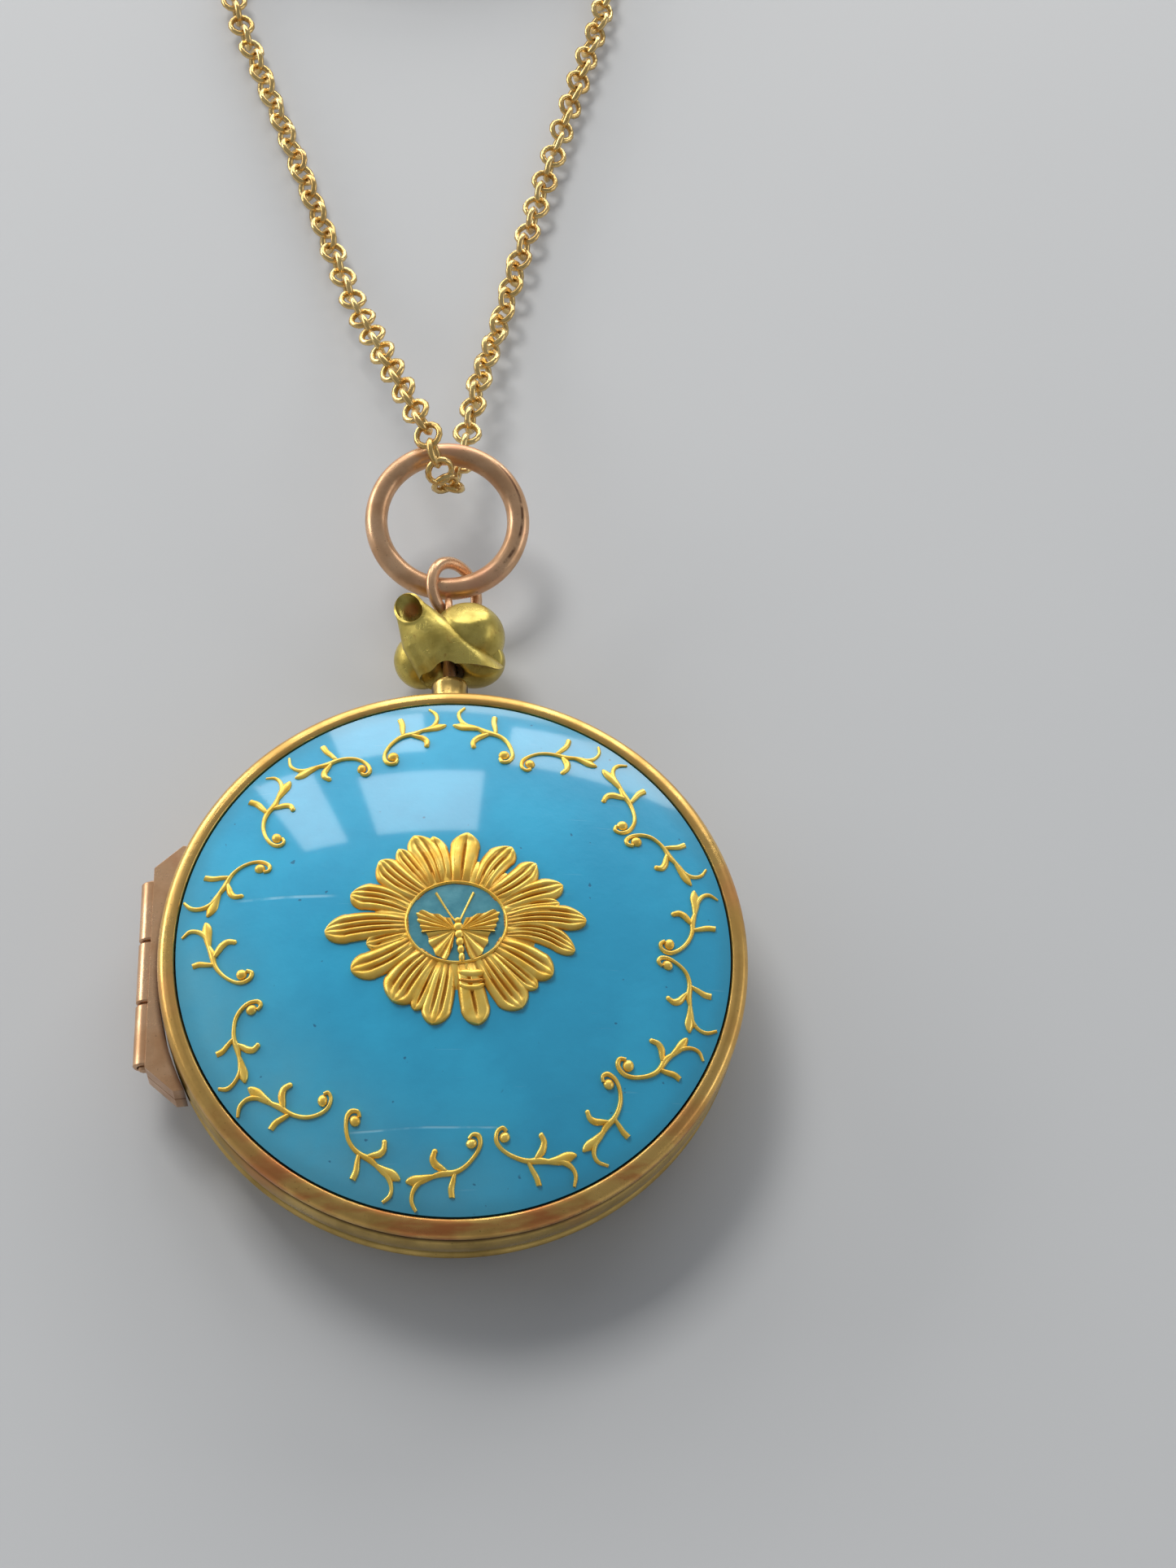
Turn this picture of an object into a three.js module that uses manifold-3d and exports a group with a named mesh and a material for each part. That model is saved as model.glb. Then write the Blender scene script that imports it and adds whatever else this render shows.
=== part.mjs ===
// A round picture locket on a fine neck chain, lying on its back.
//
// +Z is up, out of the enamelled front. +Y points along the pendant: neck, knot, jump ring, bail
// ring, then the chain. The hinge is on the -X side. The origin is the centre of the flat land that
// the back stands on. Millimetres.
//
// The case is two shallow shells that meet at one seam. The back shell carries a snap lip, the neck
// and two of the three hinge knuckles. The front shell carries the bezel, the domed enamel and its
// gold ornament, and the middle knuckle. Each half has a picture well: plate, paper, glass and a
// ring that holds them in.

import * as THREE from 'three';
import { mergeVertices } from 'three/addons/utils/BufferGeometryUtils.js';
import Module from 'manifold-3d';

const wasm = await Module();
wasm.setup();

// ---------------------------------------------------------------- driving dimensions
const TURN = 40;               // facets round the case
const SEAM = 3.1;              // height of the opening seam
const CASE_R = 14.12;          // widest radius of the case
const ENAMEL_R = 13.2;         // radius of the enamel plate
const ENAMEL_EDGE = 6.15;      // height of the enamel at the bezel
const DOME_RISE = 2.2;         // how far the enamel rises above its edge
const ENAMEL_T = 0.5;          // enamel thickness
const PLATE_T = 0.4;           // metal under the enamel
const SKIN_GAP = 0.07;         // air between laid-together sheets

const FLOWER_A = 6.1;          // sunflower half width
const FLOWER_B = 5.1;          // sunflower half height
const PETALS = 19;
const MEDAL_A = 2.35;          // medallion half width
const MEDAL_B = 2.05;          // medallion half height
const RELIEF_T = 0.28;         // height of the gold relief

const HINGE_X = -14.74;        // hinge pin line, parallel to Y
const BARREL_R = 0.56;
const PIN_R = 0.3;
const KNUCKLE = 3.1;           // length of one knuckle
const KNUCKLE_GAP = 0.12;

const AXIS_Z = 3.1;            // height of the neck, post and knot
const NECK_Y0 = 14.25;
const NECK_Y1 = 16.3;
const NECK_R = 0.95;
const POST_R = 0.36;
const EYE_Y = 20.25;           // centre of the post's eye
const EYE_R = 0.82;
const EYE_WIRE = 0.2;
const RECESS_R = 1.9;          // hollow end of the knot, round the eye and the jump ring
const MOUTH = [-2.1, 20.1, 5.0];   // open end of the knot's rolled horn
const TAIL = [2.5, 16.7, 2.3];     // its other end

const JUMP_R = 1.6;           // jump ring, to the middle of its wire
const JUMP_WIDE = 0.66;         // its wire is a little flat: width in the plane of the ring
const JUMP_THICK = 0.54;
const JUMP_ROLL = 42;          // degrees from level, left side up
const JUMP_YAW = -10;          // degrees from the Y axis, toward +X
const BAIL_R = 3.8;            // bail ring, to the middle of its wire
const BAIL_WIRE = 0.6;
const BAIL_NEAR = [0, 22, 3.08];
const BAIL_TILT = 14.5;        // degrees that the far side of the bail is raised

const CHAIN_R = 0.82;          // half the width of the chain
const FLOOR = CHAIN_R + 0.1;   // height of a chain that lies on the surface
const COIL_AT = [-1.1, 83.6];
const COIL_R = 9.9;            // to the middle of its turns: three side by side, in two layers
const COIL_WIDE = 5.4;
const COIL_HIGH = 3.6;

const CLASP_AT = [-0.5, 83.6, 1.16];
const CLASP_R = 2.15;
const CLASP_TUBE = 0.6;

// ---------------------------------------------------------------- materials
function metal(hex, roughness) {
  return new THREE.MeshStandardMaterial({ color: hex, roughness, metalness: 1 });
}
function plain(hex, roughness) {
  return new THREE.MeshStandardMaterial({ color: hex, roughness, metalness: 0 });
}
const caseGold = metal(0xc79b46, 0.32);
const bezelGold = metal(0xc9934a, 0.28);
const roseGold = metal(0xc08a6a, 0.25);
const greenGold = metal(0xa99136, 0.4);
const foilGold = metal(0xe0b040, 0.3);
const chainGold = metal(0xd6ac66, 0.2);
const enamelBlue = plain(0x2f9fc8, 0.1);
const medalBlue = plain(0x3f8798, 0.25);
const paper = plain(0xe9e2d2, 0.8);
const glass = plain(0xdfe8ea, 0.05);

const locket = new THREE.Group();

// ---------------------------------------------------------------- helpers
const rad = (deg) => (deg * Math.PI) / 180;

// One named solid, put at a place and turned.
function put(name, geometry, material, position = [0, 0, 0], rotation = [0, 0, 0]) {
  const mesh = new THREE.Mesh(geometry, material);
  mesh.name = name;
  mesh.position.set(...position);
  mesh.rotation.set(...rotation);
  locket.add(mesh);
  return mesh;
}

// A solid of revolution about Z from [radius, height] pairs that run outer side upward.
function turned(profile, facets = TURN) {
  const points = profile.map(([r, z]) => new THREE.Vector2(r, z));
  const geometry = new THREE.LatheGeometry(points, facets);
  geometry.rotateX(Math.PI / 2);
  return geometry;
}

// The same with the profile closed on itself, for a ring.
function turnedRing(profile, facets = TURN) {
  return turned([...profile, profile[0]], facets);
}

// A ring of wire about Z: an oval section `thick` across and `wide` along the axis.
function wireRing(radius, thick, wide, facets = 32, sides = 8) {
  const profile = [];
  for (let i = 0; i < sides; i += 1) {
    const a = (2 * Math.PI * (i + 0.5)) / sides;
    profile.push([radius + (thick / 2) * Math.cos(a), (wide / 2) * Math.sin(a)]);
  }
  return turnedRing(profile, facets);
}

// A round bar that follows a curve.
function bar(curve, radius, steps, sides = 8) {
  const section = new THREE.Shape();
  for (let i = 0; i < sides; i += 1) {
    const a = (2 * Math.PI * i) / sides;
    const x = radius * Math.cos(a);
    const y = radius * Math.sin(a);
    if (i === 0) section.moveTo(x, y);
    else section.lineTo(x, y);
  }
  section.closePath();
  return new THREE.ExtrudeGeometry(section, { steps, bevelEnabled: false, extrudePath: curve });
}

// A flat outline of [x, y] pairs, pushed up from z0 to z1.
function slab(outline, z0, z1, holes = []) {
  const shape = new THREE.Shape(outline.map(([x, y]) => new THREE.Vector2(x, y)));
  for (const hole of holes) {
    shape.holes.push(new THREE.Path(hole.map(([x, y]) => new THREE.Vector2(x, y))));
  }
  const geometry = new THREE.ExtrudeGeometry(shape, { depth: z1 - z0, bevelEnabled: false });
  geometry.translate(0, 0, z0);
  return geometry;
}

function oval(a, b, count, cx = 0, cy = 0) {
  const out = [];
  for (let i = 0; i < count; i += 1) {
    const t = (2 * Math.PI * i) / count;
    out.push([cx + a * Math.cos(t), cy + b * Math.sin(t)]);
  }
  return out;
}

// Booleans.
function solid(geometry) {
  const g = geometry.clone();
  g.deleteAttribute('normal');
  g.deleteAttribute('uv');
  const merged = mergeVertices(g, 1e-4);
  return new wasm.Manifold(new wasm.Mesh({
    numProp: 3,
    vertProperties: new Float32Array(merged.attributes.position.array),
    triVerts: new Uint32Array(merged.index.array),
  }));
}

function geometryOf(manifold) {
  const mesh = manifold.getMesh();
  const geometry = new THREE.BufferGeometry();
  const n = mesh.numProp;
  const count = mesh.vertProperties.length / n;
  const xyz = new Float32Array(count * 3);
  for (let i = 0; i < count; i += 1) {
    for (let k = 0; k < 3; k += 1) xyz[3 * i + k] = mesh.vertProperties[n * i + k];
  }
  geometry.setAttribute('position', new THREE.BufferAttribute(xyz, 3));
  geometry.setIndex(new THREE.BufferAttribute(new Uint32Array(mesh.triVerts), 1));
  geometry.computeVertexNormals();
  return geometry;
}

// A rod along Y between two stations, for knuckles, bores and reliefs.
function rodY(radius, y0, y1, x, z, facets = 20) {
  const geometry = new THREE.CylinderGeometry(radius, radius, y1 - y0, facets);
  geometry.translate(x, (y0 + y1) / 2, z);
  return geometry;
}

// ---------------------------------------------------------------- the dome
const DOME_SPHERE = (ENAMEL_R ** 2 + DOME_RISE ** 2) / (2 * DOME_RISE);
const DOME_TOP = ENAMEL_EDGE + DOME_RISE;
function domeZ(r) {
  return DOME_TOP - DOME_SPHERE + Math.sqrt(DOME_SPHERE ** 2 - r ** 2);
}

// A domed sheet: everything between two depths under the dome's surface, out to a radius.
function domedSheet(radius, over, under, rings = 4, facets = TURN) {
  const profile = [];
  for (let i = 0; i <= rings; i += 1) {
    const r = (radius * i) / rings;
    profile.push([r, domeZ(r) + under]);
  }
  for (let i = rings; i >= 0; i -= 1) {
    const r = (radius * i) / rings;
    profile.push([r, domeZ(r) + over]);
  }
  return turned(profile, facets);
}

// ---------------------------------------------------------------- back half
put('back_shell', turned([
  [0, 0], [6, 0], [9.5, 0.3], [12, 0.9], [13.3, 1.5], [13.95, 2.1], [CASE_R, 2.6],
  [14.02, 2.95], [13.85, SEAM - 0.04], [13.4, SEAM - 0.04], [13.4, 2.2], [12.6, 1.5],
  [9.5, 0.85], [6, 0.55], [0, 0.5],
]), caseGold);
put('back_snap_lip', turnedRing([
  [12.95, 2.3], [13.3, 2.3], [13.3, 3.3], [13.18, 3.9], [12.95, 3.9],
]), caseGold);
put('back_well_plate', turned([[0, 1.85], [12.85, 1.85], [12.85, 2.05], [0, 2.05]]), caseGold);
put('back_picture', turned([[0, 2.1], [12.1, 2.1], [12.1, 2.2], [0, 2.2]], 32), paper);
put('back_glass', turned([[0, 2.25], [12.1, 2.25], [12.1, 2.43], [0, 2.43]], 32), glass);
put('back_picture_ring', turnedRing([
  [12.2, 2.1], [12.85, 2.1], [12.85, 2.7], [12.7, 2.85], [11.4, 2.85], [11.2, 2.7],
  [11.2, 2.48], [12.2, 2.48],
], 32), caseGold);

// ---------------------------------------------------------------- front half
put('front_wall', turnedRing([
  [13.45, SEAM + 0.04], [13.85, SEAM + 0.04], [14.02, 3.3], [CASE_R, 3.7], [CASE_R, 4.4],
  [14.04, 4.95], [13.94, 5.15], [13.45, 5.15],
]), caseGold);
put('front_bezel', turnedRing([
  [13.27, 5.2], [13.85, 5.2], [14.05, 5.35], [CASE_R, 5.6], [14.05, 5.88], [13.86, 6.12],
  [13.58, 6.24], [13.36, 6.22], [13.27, 6.12],
]), bezelGold);
put('front_dome_plate',
  domedSheet(ENAMEL_R, -ENAMEL_T - SKIN_GAP, -ENAMEL_T - SKIN_GAP - PLATE_T), caseGold);
put('enamel_dome', domedSheet(ENAMEL_R, 0, -ENAMEL_T), enamelBlue);
put('front_well_plate', turned([[0, 4.1], [13.38, 4.1], [13.38, 4.3], [0, 4.3]]), caseGold);
put('front_picture', turned([[0, 3.95], [12.1, 3.95], [12.1, 4.05], [0, 4.05]], 32), paper);
put('front_glass', turned([[0, 3.72], [12.1, 3.72], [12.1, 3.9], [0, 3.9]], 32), glass);
put('front_picture_ring', turnedRing([
  [11.2, 3.48], [11.4, 3.3], [12.6, 3.3], [12.75, 3.45], [12.75, 4.05], [12.2, 4.05],
  [12.2, 3.67], [11.2, 3.67],
], 32), caseGold);

// The sunflower: a curved gold sheet cut to an oval ring of petals of uneven length.
function flowerOutline() {
  const out = [];
  for (let i = 0; i < PETALS; i += 1) {
    const mid = (2 * Math.PI * i) / PETALS + Math.PI / 2;
    const long = 1 - 0.09 * (0.5 + 0.5 * Math.sin(i * 2.4 + 0.7));
    for (const [turn, reach] of [[-0.5, 0.74], [-0.3, 0.93], [-0.08, 1], [0.12, 1], [0.32, 0.9]]) {
      const a = mid + (turn * 2 * Math.PI) / PETALS;
      out.push([FLOWER_A * long * reach * Math.cos(a), FLOWER_B * long * reach * Math.sin(a)]);
    }
  }
  return out;
}
const medalHole = oval(MEDAL_A + 0.06, MEDAL_B + 0.06, 32);
const reliefSheet = solid(domedSheet(FLOWER_A + 1, RELIEF_T, 0.06, 3, 24));
const petalPrism = solid(slab(flowerOutline(), DOME_TOP - 2, DOME_TOP + 1, [medalHole]));
put('sunflower', geometryOf(petalPrism.intersect(reliefSheet)), foilGold);

const medalPrism = solid(slab(oval(MEDAL_A, MEDAL_B, 32), DOME_TOP - 2, DOME_TOP + 1));
const medalSheet = solid(domedSheet(MEDAL_A + 0.5, 0.18, 0.06, 2, 20));
put('medallion', geometryOf(medalPrism.intersect(medalSheet)), medalBlue);

// The butterfly: spread fore and hind wings, body and a head, one thin gold piece.
const wing = [
  [0.13, 0.34], [0.62, 0.66], [1.2, 0.88], [1.74, 0.94], [1.68, 0.66], [1.74, 0.44],
  [1.5, 0.3], [1.52, 0.06], [1.26, 0.0], [1.2, -0.22], [0.92, -0.2], [0.78, -0.42],
  [0.52, -0.4], [0.2, -0.24],
];
const butterflyOutline = [
  [0, 0.62], [0.16, 0.52], ...wing, [0.1, -0.72], [0, -0.86], [-0.1, -0.72],
  ...wing.map(([x, y]) => [-x, y]).reverse(), [-0.16, 0.52],
].map(([x, y]) => [x * 1.08, y * 1.08 - 0.1]);
const butterflyPrism = solid(slab(butterflyOutline, DOME_TOP - 2, DOME_TOP + 1));
const butterflySheet = solid(domedSheet(MEDAL_A + 0.5, 0.38, 0.25, 2, 20));
put('butterfly', geometryOf(butterflyPrism.intersect(butterflySheet)), foilGold);

// ---------------------------------------------------------------- hinge
function knuckle(y0, y1) {
  const barrel = solid(rodY(BARREL_R, y0, y1, HINGE_X, SEAM));
  return geometryOf(barrel.subtract(solid(rodY(PIN_R + 0.07, y0 - 1, y1 + 1, HINGE_X, SEAM))));
}
const k0 = KNUCKLE / 2;
put('hinge_knuckle_front', knuckle(-k0, k0), roseGold);
put('hinge_knuckle_back_a', knuckle(k0 + KNUCKLE_GAP, k0 + KNUCKLE_GAP + KNUCKLE), roseGold);
put('hinge_knuckle_back_b', knuckle(-k0 - KNUCKLE_GAP - KNUCKLE, -k0 - KNUCKLE_GAP), roseGold);
const barrelEnd = k0 + KNUCKLE_GAP + KNUCKLE;
put('hinge_pin', rodY(PIN_R, -barrelEnd - 0.15, barrelEnd + 0.15, HINGE_X, SEAM, 16), roseGold);

// Bearers: strips soldered to each shell that the barrel lies between, with sloped ends.
function bearer(z0, z1) {
  const outer = HINGE_X + 0.14;
  const inner = CASE_R + 0.08;
  const end = 6.5;
  const outline = [[outer, -5.15], [-13.25, -6.35]];
  for (let i = 0; i <= 20; i += 1) {
    const y = -end * 0.97 + (2 * end * 0.97 * i) / 20;
    outline.push([-Math.sqrt(inner ** 2 - y ** 2), y]);
  }
  outline.push([-13.25, 6.35], [outer, 5.15]);
  const relief = solid(rodY(BARREL_R + 0.07, -5.0, 5.0, HINGE_X, SEAM));
  return geometryOf(solid(slab(outline, z0, z1)).subtract(relief));
}
put('hinge_bearer_back', bearer(2.0, SEAM - 0.05), roseGold);
put('hinge_bearer_front', bearer(SEAM + 0.05, 4.3), roseGold);

// ---------------------------------------------------------------- neck, post and knot
// Profiles here run along Y.
function turnedY(profile, facets) {
  const points = profile.map(([r, y]) => new THREE.Vector2(r, y));
  return new THREE.LatheGeometry(points, facets);
}
put('pendant_neck', turnedY([
  [0, NECK_Y0], [1.3, NECK_Y0], [1.34, 14.42], [1.1, 14.8], [NECK_R, 15.15], [NECK_R, 15.85],
  [0.86, 16.1], [0.55, NECK_Y1], [0, NECK_Y1],
], 32), caseGold, [0, 0, AXIS_Z]);

const eye = wireRing(EYE_R, 2 * EYE_WIRE, 2 * EYE_WIRE, 22, 6);
eye.rotateY(Math.PI / 2);
eye.translate(0, EYE_Y, AXIS_Z);
const shank = rodY(POST_R, NECK_Y1 + 0.04, EYE_Y - EYE_R, 0, AXIS_Z, 16);
put('swivel_post', geometryOf(solid(shank).add(solid(eye))), roseGold);

// The knot: a sheet rolled into a horn, open at its narrow end, folded over two round lobes.
function horn(from, to, profile, facets = 12) {
  const a = new THREE.Vector3(...from);
  const b = new THREE.Vector3(...to);
  const length = a.distanceTo(b);
  const geometry = new THREE.LatheGeometry(
    profile.map(([r, t]) => new THREE.Vector2(r, t * length)), facets);
  const turn = new THREE.Quaternion().setFromUnitVectors(
    new THREE.Vector3(0, 1, 0), b.clone().sub(a).normalize());
  geometry.applyQuaternion(turn);
  geometry.translate(a.x, a.y, a.z);
  return solid(geometry);
}
function lobe(at, radii) {
  const geometry = new THREE.SphereGeometry(1, 14, 9);
  geometry.scale(...radii);
  geometry.translate(...at);
  return solid(geometry);
}
const hornProfile = [
  [0, 0], [0.7, 0.01], [0.78, 0.04], [0.95, 0.17], [1.35, 0.32], [1.95, 0.5], [2.15, 0.64],
  [2.0, 0.78], [1.35, 0.92], [0.5, 1], [0, 1.01],
];
const hornHole = [[0, -0.1], [0.6, -0.1], [0.62, 0.1], [0.45, 0.3], [0, 0.36]];
let knot = horn(MOUTH, TAIL, hornProfile);
knot = knot.add(lobe([1.0, 19.2, 3.1], [1.9, 1.85, 1.95]));
knot = knot.add(lobe([-1.25, 18.3, 2.7], [1.8, 1.75, 1.9]));
knot = knot.subtract(horn(MOUTH, TAIL, hornHole));
knot = knot.subtract(solid(rodY(POST_R + 0.09, 12, 24, 0, AXIS_Z, 16)));
knot = knot.subtract(solid(rodY(RECESS_R, EYE_Y - 1.12, 24, 0, AXIS_Z, 20)));
knot = knot.intersect(solid(rodY(6, NECK_Y1 + 0.15, 21.05, 0, AXIS_Z, 12)));
put('knot_bead', geometryOf(knot), greenGold);

// ---------------------------------------------------------------- rings
// The jump ring passes through the post's eye and round the bail, over it on one side and under
// it on the other.
const jumpGeometry = wireRing(JUMP_R, JUMP_WIDE, JUMP_THICK, 24);
jumpGeometry.translate(0, JUMP_R, 0);
jumpGeometry.rotateY(rad(JUMP_ROLL));
put('jump_ring', jumpGeometry, roseGold, [0.05, EYE_Y, AXIS_Z], [0, 0, rad(JUMP_YAW)]);

const bailGeometry = wireRing(BAIL_R, 2 * BAIL_WIRE, 2 * BAIL_WIRE, 40, 8);
bailGeometry.translate(0, BAIL_R, 0);
put('bail_ring', bailGeometry, roseGold, BAIL_NEAR, [rad(BAIL_TILT), 0, 0]);

// ---------------------------------------------------------------- chain
// Both strands come down from the hidden coil, and the chain turns once through the bail.
const farY = BAIL_NEAR[1] + 2 * BAIL_R * Math.cos(rad(BAIL_TILT));
const farZ = BAIL_NEAR[2] + 2 * BAIL_R * Math.sin(rad(BAIL_TILT));
const WRAP = BAIL_WIRE + CHAIN_R + 0.26;
const wrapPoints = [];
for (let i = 0; i <= 8; i += 1) {
  const a = rad(75 + (210 * i) / 8);
  const x = -1.15 + (1.9 * i) / 8;
  wrapPoints.push([x, farY + WRAP * Math.cos(a), farZ + WRAP * Math.sin(a)]);
}
const leftStrand = [
  [-11.9, 75.95, FLOOR], [-12.9, 70.8, FLOOR], [-12.7, 66.5, FLOOR], [-11, 60.9, FLOOR],
  [-8.5, 53.3, FLOOR], [-6.5, 47, FLOOR], [-5.1, 42.2, 1.75], [-3.8, 38, 3.5], [-2.5, 33.8, 5.3],
];
const rightStrand = [
  [2, 36.4, 2.3], [3.2, 41, 1.1], [4.3, 45.3, FLOOR], [6.6, 53.4, FLOOR],
  [9.1, 62, FLOOR], [10.4, 66.5, FLOOR], [10.7, 70.8, FLOOR], [9.7, 75.95, FLOOR],
];
const chainPoints = [...leftStrand, ...wrapPoints, ...rightStrand];
const chainCurve = new THREE.CatmullRomCurve3(
  chainPoints.map((p) => new THREE.Vector3(...p)), false, 'centripetal');
put('chain_strands', bar(chainCurve, CHAIN_R, 60), chainGold);

// The rest of the chain lies in one round coil beyond the strands.
const coilHeight = (COIL_HIGH / 2) * Math.cos(Math.PI / 8);
put('chain_coil', wireRing(COIL_R, COIL_WIDE, COIL_HIGH, 36), chainGold, [...COIL_AT, coilHeight]);

// ---------------------------------------------------------------- clasp
// A bolt ring: a hollow ring with a gap, closed by a curved bolt that slides inside it.
class Arc extends THREE.Curve {
  constructor(radius, from, to) {
    super();
    this.radius = radius;
    this.from = from;
    this.to = to;
  }

  getPoint(t, target = new THREE.Vector3()) {
    const a = rad(this.from + (this.to - this.from) * t);
    return target.set(this.radius * Math.cos(a), this.radius * Math.sin(a), 0);
  }
}
const claspLoop = wireRing(0.64, 0.34, 0.34, 16, 6);
claspLoop.translate(-CLASP_R - CLASP_TUBE - 0.42, 0, 0);
let claspBody = solid(bar(new Arc(CLASP_R, 35, 325), CLASP_TUBE, 20, 8)).add(solid(claspLoop));
claspBody = claspBody.subtract(solid(bar(new Arc(CLASP_R, 28, 125), 0.46, 8, 8)));
const slotArc = new Arc(CLASP_R + 0.5, 40, 98);
claspBody = claspBody.subtract(solid(bar(slotArc, 0.31, 6, 6)));
put('clasp_ring', geometryOf(claspBody), chainGold, CLASP_AT);

const boltArc = bar(new Arc(CLASP_R, -32, 70), 0.33, 9, 6);
const thumb = new THREE.CylinderGeometry(0.17, 0.17, 0.95, 10);
thumb.translate(0, CLASP_R + 0.6, 0);
thumb.rotateZ(rad(45 - 90));
const clasp = solid(boltArc).add(solid(thumb));
put('clasp_bolt', geometryOf(clasp), chainGold, CLASP_AT);

// Rings at the two chain ends: one stays in the clasp's loop, the bolt opens to let the other go.
const END_A = [CLASP_AT[0] - CLASP_R - CLASP_TUBE - 1.16, CLASP_AT[1], CLASP_AT[2]];
put('end_ring_fixed', wireRing(0.74, 0.34, 0.34, 18, 6), chainGold, END_A, [Math.PI / 2, 0, 0]);
const END_B = [CLASP_AT[0] + CLASP_R + 0.3, CLASP_AT[1], CLASP_AT[2]];
put('end_ring_catch', wireRing(0.95, 0.36, 0.36, 20, 6), chainGold, END_B, [Math.PI / 2, 0, 0]);

export default locket;
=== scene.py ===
# %% [markdown]
# # A round picture locket with a blue enamel front
# This lesson dresses a finished mechanical model of a locket: two shallow gold shells on a hinge,
# a domed blue enamel front with raised gold ornament, a swivelling knot, two rings and a fine chain.
# The mechanical model already settles every size and every joint, so each step here makes one piece
# in its true place and lets it ride on the body it belongs to. Sizes in the cells are millimetres.

# %% Load the mechanical model
import math
import bmesh
import bpy
import numpy as np
from mathutils import Matrix, Quaternion, Vector


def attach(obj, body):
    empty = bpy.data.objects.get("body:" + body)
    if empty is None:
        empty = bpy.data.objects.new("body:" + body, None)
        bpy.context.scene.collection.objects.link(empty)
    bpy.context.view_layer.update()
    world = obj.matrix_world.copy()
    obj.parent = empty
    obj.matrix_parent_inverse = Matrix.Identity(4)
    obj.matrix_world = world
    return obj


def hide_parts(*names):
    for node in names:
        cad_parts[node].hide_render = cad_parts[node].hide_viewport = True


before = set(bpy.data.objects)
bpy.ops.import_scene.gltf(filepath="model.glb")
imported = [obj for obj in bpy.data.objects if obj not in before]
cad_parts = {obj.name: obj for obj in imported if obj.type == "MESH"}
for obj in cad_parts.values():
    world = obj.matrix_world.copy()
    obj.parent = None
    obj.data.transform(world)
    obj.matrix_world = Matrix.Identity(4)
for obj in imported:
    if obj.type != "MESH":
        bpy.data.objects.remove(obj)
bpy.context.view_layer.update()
MM = 0.001


def placed(name, data):
    """A new object, put in the scene."""
    thing = bpy.data.objects.new(name, data)
    bpy.context.scene.collection.objects.link(thing)
    return thing


# %% [markdown]
# ## The camera
# The locket is seen from in front and well above, a little turned. A camera is easiest to place by
# where it stands and what it looks at. Aiming leaves its roll free, so a last turn about its own
# line of sight gives the slight tilt of a hand-held view.

# %% Camera
camera = placed("view_camera", bpy.data.cameras.new("view_camera"))
camera.location = Vector((-2.5, -42.8, 106.5)) * MM
aim = Vector((6.9, 9.8, 4.0)) * MM - camera.location
camera.rotation_mode = "QUATERNION"
camera.rotation_quaternion = (aim.to_track_quat("-Z", "Y")
                              @ Quaternion((0, 0, 1), math.radians(8.7)))
camera.data.lens = 52.3
camera.data.clip_start = 0.005
bpy.context.scene.camera = camera
print("camera distance in mm:", round(aim.length / MM))

# %% [markdown]
# ## Floor and light
# Gold and glassy enamel show mostly what they reflect, so the light matters as much as the finish.
# A window beyond the locket is built as a few upright panes: each one leaves its own pale patch on
# the dome. Most of the daylight comes from the same side but from a wider, paler stretch of sky,
# which a large key panel stands in for. It is kept out of reflections, because its outline would
# show on the dome, and it throws the soft shadow toward the viewer. Three long low panels lie too
# near the horizon for the flat dome to mirror; the round wires and the rim pick up their bright
# streaks from them. The floor is plain and pale.

# %% Floor, panes and fill
HALF = 6.0  # metres from the middle of the floor to its edge, far out of view
floor_mesh = bpy.data.meshes.new("floor")
floor_mesh.from_pydata([(-HALF, -HALF, 0), (HALF, -HALF, 0), (HALF, HALF, 0), (-HALF, HALF, 0)],
                       [], [(0, 1, 2, 3)])
floor = placed("floor", floor_mesh)


def panel(name, centre, facing, wide, high, power):
    """A rectangular lamp at a place, turned to face a point."""
    lamp = bpy.data.lights.new(name, "AREA")
    lamp.shape, lamp.size, lamp.size_y, lamp.energy = "RECTANGLE", wide, high, power
    lamp.color = (1.0, 0.985, 0.96)
    thing = placed(name, lamp)
    thing.location = centre
    thing.rotation_mode = "QUATERNION"
    thing.rotation_quaternion = (Vector(facing) - Vector(centre)).to_track_quat("-Z", "Y")
    return thing


WALL = 400  # mm from the locket to the wall with the window
PANE_POWER = 12  # watts for each square metre of pane
PANES = {  # name: left, right, bottom, top of each pane, in mm
    "pane_low": (-112, -18, 185, 262),
    "pane_mid": (-102, 48, 305, 462),
    "pane_left": (-222, -150, 262, 470),
    "pane_right": (70, 370, 205, 285),
}
for name, (left, right, low, high) in PANES.items():
    middle = Vector(((left + right) / 2, WALL, (low + high) / 2)) * MM
    wide, tall = (right - left) * MM, (high - low) * MM
    panel(name, middle, middle - Vector((0, 1, 0)), wide, tall,
          PANE_POWER * wide * tall)
key = panel("sky", (-0.21, 0.36, 0.49), (0, 0.01, 0), 0.22, 0.18, 1.75)
key.visible_glossy = False
panel("low_left", (-0.75, 0.5, 0.24), (0, 0.01, 0), 0.9, 0.34, 4.6)
panel("low_far", (0.15, 1.1, 0.28), (0, 0.01, 0), 1.4, 0.42, 6.5)
panel("low_right", (0.8, 0.0, 0.26), (0, 0.01, 0), 0.6, 0.3, 0.9)
world = bpy.data.worlds.new("soft_room")
bpy.context.scene.world = world
world.use_nodes = True
world.node_tree.nodes["Background"].inputs["Color"].default_value = (0.82, 0.87, 0.94, 1)
world.node_tree.nodes["Background"].inputs["Strength"].default_value = 0.30
bpy.context.scene.view_settings.view_transform = "Standard"
print("panes:", len(PANES))

# %% [markdown]
# ## Helpers for finishes
# Every finish here starts from the same principled shader, and varies along Object coordinates.
# Those stay with the piece when it swings, because every finished piece keeps its place in its
# mesh. Small helpers keep the recipes short: noise of a given size, a soft step that turns a value
# into a mask, arithmetic on masks, and a mix of two colours.

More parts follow.
